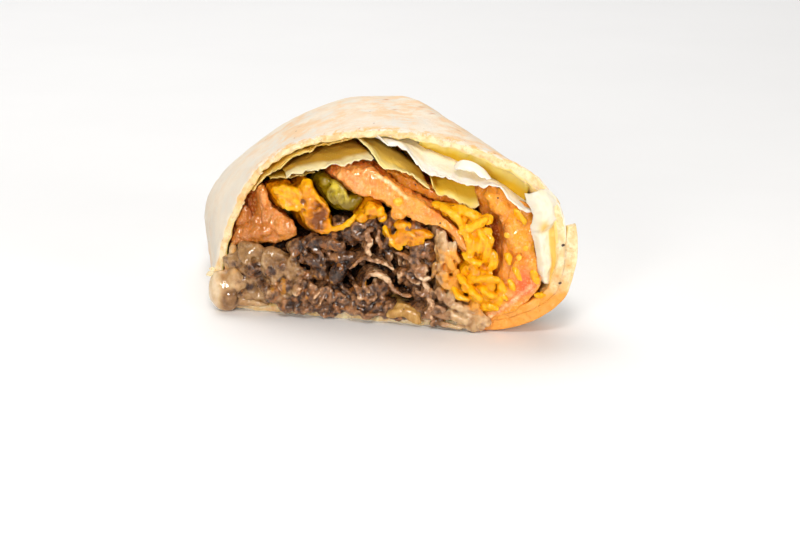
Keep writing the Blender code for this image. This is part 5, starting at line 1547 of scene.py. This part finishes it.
def build_onion(look):
    amber = Finish("fried onion", 0.28, 0.4, (1, 0.8, 0.4), 2, 0.8, 0.1, 0.1)
    lines = amber.noise(1.2, 3, 0.6, 0.2, stretch=(1.4, 1.4, 0.5))
    amber.base = look.onion
    amber.over(srgb(206, 164, 98), lines, 0.35, 0.7)
    amber.over(srgb(164, 112, 48), amber.noise(3, 2), 0.50, 0.75, 0.4)
    shapes = [cut_end(ONION, -2.6, rounding=0.4, droop=1.4), *lumps(ONION_LUMPS)]
    points, faces, normals = melt(shapes, PEPPER_VOXEL, 2)
    points = pushed(points, normals, 0.10 * layered(points, 1.4, 2))
    piece("onion_slice", points, faces, [amber.done(lines, 0.2)], "onion", ["onion"], cores=[run_back(ONION)])


# -------------------- lettuce

CURL_LEFT = [
    (33.2, 33.6, -1), (33.4, 31.8, -1.6), (34.4, 30.4, -1.8), (34.9, 27.6, -1.6), (34.4, 26, -1),
    (35.3, 23.6, -0.2), (36, 20.4, 0.4), (36.6, 17, 0.8), (37.2, 14.4, 1.2), (37.8, 12.6, 1.4),
]
CURL_RIGHT = [
    (36, 34.4, -0.6), (38.4, 33.4, -0.9), (39.9, 31.6, -0.6), (40.3, 28.9, 0), (39.9, 26.8, 0.6),
    (38.5, 25, 0.6), (38.7, 21.8, 0.8), (39.5, 18.3, 1), (39.4, 15.4, 1.3), (38.9, 12.4, 1.5),
]
CURL_WALL = [
    (38, 34.9, 0), (40, 33.6, 0.2), (41.3, 31.6, 0.4), (41.9, 29, 0.6), (42.2, 26.8, 0.8), (42.5, 25, 0.9),
    (42.7, 21.8, 1), (42.5, 18.3, 1.1), (41.8, 14.4, 1.3), (40.9, 12, 1.4),
]
CURL_BACK = [
    (34.6, 32.6), (36.4, 31), (37.9, 29), (39.1, 26.6), (39.7, 24.4), (39.9, 21.6), (40, 18.6), (39.3, 15.2),
    (38.6, 12.8),
]
# cut edge (u, z, d), path further in (u, z), waviness, colours at the edge and deep inside (the deep one
# partly painted shade under the rim), and where it isn't as usual, how far back the turned-up front
# reaches and whether the leaf runs on
LEAVES = {
    "lettuce_left_back": (
        [(-33.3, 29.3, 1), (-30.8, 31.8, 0.5), (-28, 34.2, 0), (-25, 36.3, 0), (-22.4, 38, 0),
         (-19.8, 39.2, 0), (-17.4, 40.2, 0.5)],
        [(-33.3, 29.6), (-30.8, 32.4), (-28, 34.9), (-25, 37.2), (-22.4, 38.9), (-19.8, 40), (-17.4, 40.8)],
        0.35, (248, 210, 98), (226, 178, 40)),
    "lettuce_left_low": (
        [(-28.4, 32.5, 1), (-26.2, 33, 0.5), (-23.6, 33.2, 0.5), (-21.2, 33.8, 1), (-18.8, 34.3, 1.5),
         (-16.8, 34.6, 2)],
        [(-28.4, 32.7), (-26.2, 33.5), (-23.6, 33.9), (-21.2, 34.5), (-18.8, 35.1), (-16.8, 35.5)],
        0.4, (230, 188, 62), (206, 158, 20)),
    "lettuce_front_left": (
        [(-25.2, 34.5, -3), (-22.6, 35.4, -3), (-19.5, 36.2, -3), (-15, 37, -2.8), (-10.4, 37.9, -2.4),
         (-6, 38.8, -2), (-3.2, 39.8, -1.6)],
        [(-24.8, 35), (-21.6, 36.6), (-18, 38), (-14, 39.2), (-10.4, 40.2), (-7, 40.6), (-4.4, 40.4)],
        0.4, (250, 232, 176), (206, 160, 46)),
    "lettuce_deep": (
        [(-18, 40.3, 3), (-15.6, 41.2, 2.4), (-12.6, 42, 2), (-9.8, 42.6, 2), (-6.6, 43.4, 2.4)],
        [(-18, 39.8), (-15.6, 40.8), (-12.6, 41.4), (-9.8, 41.9), (-7, 42.4)],
        0.2, (240, 192, 50), (228, 172, 26)),
    "lettuce_middle": (
        [(-6.6, 43, 0.5), (-4.5, 41.8, -0.6), (-3.1, 40.2, -1.6), (-1.7, 38.4, -2.4), (1.6, 37.4, -3),
         (5.2, 36.1, -3), (7.9, 35, -3), (9.9, 33.9, -2.6)],
        [(-6, 43.2), (-4, 42.5), (-2, 41.8), (0, 41), (2.4, 39.8), (4.8, 38.6), (7.6, 36.8), (10, 35.2)],
        0.35, (255, 232, 150), (250, 208, 92)),
    "lettuce_big": (
        [(-2.4, 44.6, -1.2), (0.4, 43.6, -2), (3.8, 41.9, -3), (6.1, 39.7, -3.4), (8.2, 37.8, -3.4),
         (13, 36.6, -3), (18, 35.4, -2.6), (23, 34.7, -2), (27, 34.1, -1.4), (29.6, 32.2, -0.8),
         (31.6, 30.4, -0.6), (33.6, 29.2, -0.6), (35, 28.8, -0.4)],
        [(-1.6, 43.9), (1.4, 43.7), (4.6, 43.2), (7.4, 42.6), (10, 41.6), (14, 40.2), (18.6, 38.8),
         (23, 37.2), (27.2, 35.6), (30.6, 34), (32.8, 32.8), (35.4, 31)],
        0.5, (255, 252, 244), (255, 248, 224)),
    "lettuce_under": (
        [(10.7, 35.6, -0.4), (11.4, 33.2, -0.6), (12.6, 31.4, -0.2), (14.4, 31, 0.6), (16.6, 30.4, 1.2),
         (18.8, 29.2, 1.8), (20.6, 28.6, 2.2), (22.8, 29.6, 2.4)],
        [(11.4, 35.8), (12.3, 34.4), (13.8, 33.8), (15.8, 33.6), (18, 33.2), (20.4, 32.8), (23, 32.6)],
        0.3, (255, 226, 110), (255, 206, 60), 4.5),
    "lettuce_deep_right": (
        [(9, 43.4, 3.4), (12, 42.9, 3.2), (16, 42.1, 3), (20, 41, 2.8), (24, 40, 2.8), (28, 38.8, 2.8),
         (32, 36.8, 2.8), (34.8, 35.2, 2.6)],
        [(9, 40.4), (12, 39.2), (16, 37.4), (20, 35.8), (24, 34.2), (28, 32.8), (32, 31), (34.4, 30)],
        0.3, (248, 212, 84), (242, 190, 40), 3),
    "lettuce_flake": (
        [(15.8, 38.3, -3.2), (17.6, 38.2, -3.6), (19.8, 37.8, -3.8), (22.4, 37.2, -3.6), (24.4, 36.8, -2.8)],
        [(16.2, 38.9), (17.8, 40.2), (20.2, 40.1), (22.6, 39.2), (24.2, 37.9)],
        0.5, (255, 253, 246), (255, 250, 236), 2.4, False),
}
LEAF_ROWS = 26  # from the cut edge to the end of the turned-up front
CURL_LUMPS = [  # u, z, d, three radii, seed, lean, roughness
    (36.2, 32.4, -1.4, 2.2, 1.3, 0.8, 1, -20, 0.3), (37.9, 30.4, -1.7, 1.3, 2.2, 0.7, 2, 0, 0.3),
    (35.9, 29.6, -1.6, 0.9, 2, 0.6, 5, 10, 0.3), (37.2, 27.2, -1.2, 1.5, 1.1, 0.6, 3, 0, 0.3),
]


def leaf_finish(name, colour, deep, look):
    made = Finish(name, 0.36, 0.3, (1, 0.85, 0.3), 1.4, 0.3, 0.15, 0.15)
    made.base = srgb(*colour)
    made.over(made.mix(0.3, made.base, srgb(255, 246, 214)), made.noise(3.6), 0.3, 0.75, 0.5)
    # the inner value lays the deep colour further back from the cut edge: partly painted shade under the rim,
    # partly the leaf's own yellower heart; on the curl it yellows the part by the wall, its low end and a
    # patch
    made.over(srgb(*deep), made.value("inner"), 0.05, 1, 0.95)
    made.over(made.mix(0.5, made.base, look.vein), made.value("vein"), 0.25, 0.9, 0.45)
    made.thin(0.15)
    return made.done(made.add(made.noise(1.5, 4, 0.6), made.times(made.value("vein"), 0.5)), 0.22)


def leaf_shape(edge, inner, wave, thickness, seed, reach=9, runs_back=True):
    """Flat points, faces, and the vein and depth values of a leaf."""
    front = spline(edge, 8)
    count = max(8, int(along(front)[-1] / 0.42))
    front = resample(front, count)
    path = resample(spline(inner, 8), count)
    rows, shares = [], list(np.linspace(0, 1, LEAF_ROWS))
    way = np.linspace(0, along(front)[-1], count)
    for share in shares:
        left = 1 - share
        u, z = (front[:, :2] + (path - front[:, :2]) * share ** 0.8).T
        spot = np.stack([way, np.full(count, share * reach), np.zeros(count)], -1)
        ripple = wave * (1.5 * noise(spot, 5, seed) + 0.6 * noise(spot, 2.2, seed + 1)) * (1 - 0.5 * share)
        crinkle = 0.12 * layered(spot, 1.5, seed + 6) * (1 - 0.7 * share)
        tear = (layered(spot, 3.6, seed + 2) + 0.15 * noise(spot, 1, seed + 3)) * left ** 3
        lift = 0.3 * np.abs(noise(spot, 3, seed + 4)) * left
        ragged = 0.45 * layered(spot, 0.9, seed + 11) * left ** 8
        d = front[:, 2] + share * reach + tear
        rows.append(np.stack([u, z + ripple + crinkle + lift + ragged + 0.35 * tear, d], -1))
    if runs_back:
        start = rows[-1][:, 2]
        for share in (0.2, 0.5, 1):
            d = start + (share * 0.95) * (depth_at(path[:, 0], FILLING_END) - start)
            rows.append(np.column_stack([path, d]))
            shares.append(1 + share)
    spread_back, x = np.meshgrid(np.array(shares) * reach, way, indexing="ij")
    still = 0 * x
    wobble = 0.9 * noise(np.stack([x, spread_back, still], -1), 4, seed)
    branch = np.abs(((x + 0.9 * spread_back + 2.2 * wobble) / 4.6) % 1 - 0.5)
    strong = ease(-0.5, 0.6, noise(np.stack([x * 0.5, spread_back * 0.3, still], -1), 3, seed + 9))
    vein = np.maximum(ease(0.09, 0, branch) * 0.7 * strong, np.clip(1 - spread_back / 0.8, 0, 1))
    depth = ease(0.08, 0.45, np.array(shares))[:, None] + still
    to_end = np.minimum(way, way[::-1])
    taper = np.clip(0.6 + spread_back / 1.2, 0, 1) * np.minimum(1, 0.4 + to_end / 1.2)
    points, faces = sheet(flat(np.array(rows)), thickness * taper)
    return points, faces, np.tile(vein.ravel(), 2), np.tile(depth.ravel(), 2)


def build_curl(look):
    """The puffed white curl, which stands in front of the right wall and runs back along it."""
    count = int(along(CURL_LEFT)[-1] / 0.35)
    left, right, wall = (resample(spline(line, 8), count) for line in (CURL_LEFT, CURL_RIGHT, CURL_WALL))
    for line, amount, size, seed in ((left, 0.5, 2.6, 90), (right, 0.4, 2.2, 94)):
        still = 0 * line[:, 1]
        line[:, 0] += amount * layered(np.stack([line[:, 1], still, still], -1), size, seed)
    rows = []
    for share in np.linspace(0, 1, 15):
        line = left + (right - left) * share
        spot = np.stack([line[:, 0], np.full(count, 3), line[:, 1]], -1)
        line[:, 2] -= 1.3 * math.sin(share * math.pi) - 0.7 * math.exp(-((share - 0.62) / 0.10) ** 2)
        line[:, 2] += 0.7 * noise(spot, 2.4, 91) + 0.4 * noise(spot, 1.1, 92)
        rows.append(flat(line))
    rest = []
    for share in np.linspace(0, 1, 7):
        rest.append(flat(right + (wall - right) * share + (0, 0, 0.5 * math.sin(share * math.pi))))
    front = [sheet(np.array(grid).transpose(1, 0, 2), 0.6) for grid in (rows, rest)]
    points, faces, normals = melt(front + lumps(CURL_LUMPS), 0.24, 1)
    points = pushed(points, normals, 0.10 * layered(points, 1.2, 8))
    u, z, _ = face(points).T
    edge_z, edge_u = [14, 18.3, 21.8, 25, 26.8, 28.9], [39.3, 39.6, 38.9, 38.7, 39.9, 40.4]
    patch = 0.9 * ease(-0.2, 0.7, u - np.interp(z, edge_z, edge_u)) + 0.22 * ease(27, 17, z)
    patch += 0.8 * np.exp(-(np.hypot(u - 37.2, (z - 26.2) * 0.8) / 1.5) ** 2)
    edge = [(at_u, at_z, 2.4) for at_u, at_z in CURL_BACK]
    back, loops, vein, depth = leaf_shape(edge, CURL_BACK, 0.1, look.leaf / MM, 60)
    vein = np.concatenate([0.4 * ease(28, 31, z), vein])
    values = {"vein": vein, "inner": np.concatenate([patch, depth])}
    finish = leaf_finish("lettuce curl", (244, 237, 218), (252, 204, 92), look)
    both = merged([(points, faces), (back, loops)])
    piece("leaf_curl", *both, [finish], "lettuce", ["lettuce_curl"], values)


def build_lettuce(look):
    for k, (node, (edge, inner, wave, colour, deep, *reach)) in enumerate(LEAVES.items()):
        points, faces, vein, depth = leaf_shape(edge, inner, wave, look.leaf / MM, k * 5, *reach)
        finish = leaf_finish(node.replace("_", " "), colour, deep, look)
        values = {"vein": vein, "inner": depth}
        piece(node.replace("lettuce", "leaf"), points, faces, [finish], "lettuce", [node], values)
    build_curl(look)


# -------------------- small bits

SPECKS = [  # u, z, d, radius
    (41.7, 13, 0, 0.35), (42.2, 21.9, 0, 0.4), (-39.5, 3.7, -3.9, 0.32), (6.6, 34.2, -2.6, 0.22),
    (34.2, 9, 1.2, 0.4), (37.2, 10.2, 1.4, 0.3), (12.2, 25.8, -3.5, 0.24), (26.4, 32.2, -1.4, 0.25),
    (21.6, 26.2, -2.8, 0.3), (-31, 9.8, -3.4, 0.25), (17, 19.4, -2.6, 0.25), (-36, 13.4, -3, 0.2),
]


def build_specks():
    """Ground pepper and crumbs of browned meat on the other pieces."""
    dark = Finish("ground pepper", 0.6)
    dark.base = dark.mix(dark.noise(0.4), srgb(46, 32, 26), srgb(96, 68, 48))
    shapes = [lump((u, z, d), (size, size * 0.8, size * 0.7), k, (0, 0, k * 40), 0.4)
              for k, (u, z, d, size) in enumerate(SPECKS)]
    piece("pepper_specks", *merged(shapes), [dark.done(dark.noise(0.3), 0.1)], "steak")


# -------------------- stage

CAMERA_TARGET = (2.1, -30.2, 13.9)  # mm
CAMERA_TURN = math.radians(-14)
CAMERA_RISE = math.radians(15)
CAMERA_DISTANCE = 520.0
CAMERA_LENS = 100.4
CAMERA_SENSOR = 36.0
CAMERA_CLIP = (0.02, 30.0)  # metres
FLOOR_HALF = 4.0  # metres
# lamps: place, diameter, share of the key or fill power, colour, aim
AT_CUT = (0, -0.01, 0.02)
LAMPS = {
    "key": ((-0.22, 0.30, 0.60), 0.5, "key", 1.0, (1, 0.985, 0.955), AT_CUT),
    "top": ((-0.10, -0.46, 0.46), 0.15, "fill", 0.8, (1, 0.97, 0.92), AT_CUT),
    "front": ((-0.34, -0.58, 0.20), 0.14, "fill", 0.9, (1, 0.965, 0.91), AT_CUT),
    "side": ((0.36, -0.54, 0.22), 0.2, "fill", 0.55, (1, 0.965, 0.91), AT_CUT),
    "backdrop": ((0.1, 0.9, 1.1), 1.4, "key", 9.8, (1.0, 0.99, 0.98), (0, 0.8, 0)),
}


def add_lamps(look):
    for name, (place, size, power, share, colour, aim) in LAMPS.items():
        lamp = bpy.data.lights.new(name, "AREA")
        lamp.shape = "DISK"
        lamp.size = size
        lamp.energy = getattr(look, power) * share
        lamp.color = colour
        obj = placed(name, lamp)
        obj.location = place
        obj.rotation_euler = (Vector(aim) - Vector(place)).to_track_quat("-Z", "Y").to_euler()


def build_stage(look):
    pale = Finish("pale floor", 0.6, specular=0.3)
    pale.base = pale.mix(pale.noise(60), look.floor, srgb(240, 241, 243))
    bm = bmesh.new()
    bmesh.ops.create_grid(bm, x_segments=2, y_segments=2, size=FLOOR_HALF)
    mesh = bpy.data.meshes.new("floor")
    bm.to_mesh(mesh)
    bm.free()
    mesh.materials.append(pale.done(pale.noise(4), 0.02))
    floor = placed("floor", mesh)

    world = bpy.data.worlds.new("soft sky")
    world.use_nodes = True
    background = world.node_tree.nodes["Background"]
    background.inputs["Color"].default_value = (1, 0.95, 0.88, 1)
    background.inputs["Strength"].default_value = look.sky
    bpy.context.scene.world = world
    add_lamps(look)

    lens = bpy.data.cameras.new("camera")
    lens.sensor_width = CAMERA_SENSOR
    lens.lens = CAMERA_LENS
    lens.clip_start, lens.clip_end = CAMERA_CLIP
    camera = placed("camera", lens)
    level = math.cos(CAMERA_RISE)
    back = Vector((math.sin(CAMERA_TURN) * level, -math.cos(CAMERA_TURN) * level, math.sin(CAMERA_RISE)))
    camera.location = (Vector(CAMERA_TARGET) + back * CAMERA_DISTANCE) * MM
    camera.rotation_euler = (-back).to_track_quat("-Z", "Y").to_euler()
    bpy.context.scene.camera = camera
    bpy.context.scene.view_settings.view_transform = "Standard"


# -------------------- operators and panel

class WRAP_OT_tortilla(bpy.types.Operator):
    """Roll the tortilla sheet with its baked outside and torn cut edge"""
    bl_idname = "wrap.tortilla"
    bl_label = "Tortilla"

    def execute(self, context):
        build_tortilla(context.scene.wrap_tortilla)
        build_flakes()
        return {"FINISHED"}


class WRAP_OT_steak(bpy.types.Operator):
    """Heap the shaved steak slices and crumbs"""
    bl_idname = "wrap.steak"
    bl_label = "Steak"

    def execute(self, context):
        build_steak(context.scene.wrap_steak, context.scene.wrap_cheese)
        return {"FINISHED"}


class WRAP_OT_cheese(bpy.types.Operator):
    """Melt the white cheese at the corner and down the right of the steak"""
    bl_idname = "wrap.cheese"
    bl_label = "White cheese"

    def execute(self, context):
        build_cheese(context.scene.wrap_cheese, context.scene.wrap_steak)
        return {"FINISHED"}


class WRAP_OT_cheddar(bpy.types.Operator):
    """Lay the melted cheddar folds, shreds and loose bits"""
    bl_idname = "wrap.cheddar"
    bl_label = "Cheddar"

    def execute(self, context):
        build_cheddar(context.scene.wrap_cheddar)
        return {"FINISHED"}


class WRAP_OT_tomatoes(bpy.types.Operator):
    """Cut the tomato slices and wedges, with their seeds"""
    bl_idname = "wrap.tomatoes"
    bl_label = "Tomatoes"

    def execute(self, context):
        build_tomatoes(context.scene.wrap_tomato)
        return {"FINISHED"}


class WRAP_OT_pepper_and_onion(bpy.types.Operator):
    """Add the green pepper ring and the onion slice"""
    bl_idname = "wrap.pepper_and_onion"
    bl_label = "Pepper and onion"

    def execute(self, context):
        build_pepper(context.scene.wrap_greens)
        build_onion(context.scene.wrap_greens)
        return {"FINISHED"}


class WRAP_OT_lettuce(bpy.types.Operator):
    """Lay the lettuce leaves"""
    bl_idname = "wrap.lettuce"
    bl_label = "Lettuce"

    def execute(self, context):
        build_lettuce(context.scene.wrap_greens)
        return {"FINISHED"}


class WRAP_OT_specks(bpy.types.Operator):
    """Sprinkle the ground pepper specks"""
    bl_idname = "wrap.specks"
    bl_label = "Pepper specks"

    def execute(self, context):
        build_specks()
        return {"FINISHED"}


class WRAP_OT_stage(bpy.types.Operator):
    """Set the floor, the soft lights and the camera"""
    bl_idname = "wrap.stage"
    bl_label = "Stage"

    def execute(self, context):
        build_stage(context.scene.wrap_stage)
        return {"FINISHED"}


class WRAP_PT_panel(bpy.types.Panel):
    """The wrap's pieces and their sizes and colours"""
    bl_idname = "WRAP_PT_panel"
    bl_label = "Steak and Cheese Wrap"
    bl_space_type = "VIEW_3D"
    bl_region_type = "UI"
    bl_category = "Wrap"

    def draw(self, context):
        for operators, group in PIECES:
            box = self.layout.box()
            for operator in operators:
                box.operator(operator.bl_idname)
            if group:
                settings = getattr(context.scene, group)
                for key in settings.__annotations__:
                    box.prop(settings, key)


SETTINGS = {
    "wrap_tortilla": WrapTortillaSettings, "wrap_steak": WrapSteakSettings, "wrap_cheese": WrapCheeseSettings,
    "wrap_cheddar": WrapCheddarSettings, "wrap_tomato": WrapTomatoSettings, "wrap_greens": WrapGreensSettings,
    "wrap_stage": WrapStageSettings,
}
PIECES = [
    ([WRAP_OT_stage], "wrap_stage"), ([WRAP_OT_tortilla], "wrap_tortilla"), ([WRAP_OT_steak], "wrap_steak"),
    ([WRAP_OT_cheese], "wrap_cheese"), ([WRAP_OT_cheddar], "wrap_cheddar"),
    ([WRAP_OT_tomatoes], "wrap_tomato"), ([WRAP_OT_pepper_and_onion, WRAP_OT_lettuce], "wrap_greens"),
    ([WRAP_OT_specks], None),
]
OPERATORS = [operator for operators, _ in PIECES for operator in operators]


def register():
    for cls in (*SETTINGS.values(), *OPERATORS, WRAP_PT_panel):
        bpy.utils.register_class(cls)
    for key, cls in SETTINGS.items():
        setattr(bpy.types.Scene, key, bpy.props.PointerProperty(type=cls))


def unregister():
    for key in SETTINGS:
        delattr(bpy.types.Scene, key)
    for cls in (WRAP_PT_panel, *reversed(OPERATORS), *reversed(SETTINGS.values())):
        bpy.utils.unregister_class(cls)


def main():
    register()
    for operator in OPERATORS:
        group, name = operator.bl_idname.split(".")
        getattr(getattr(bpy.ops, group), name)()


if __name__ == "__main__":
    main()
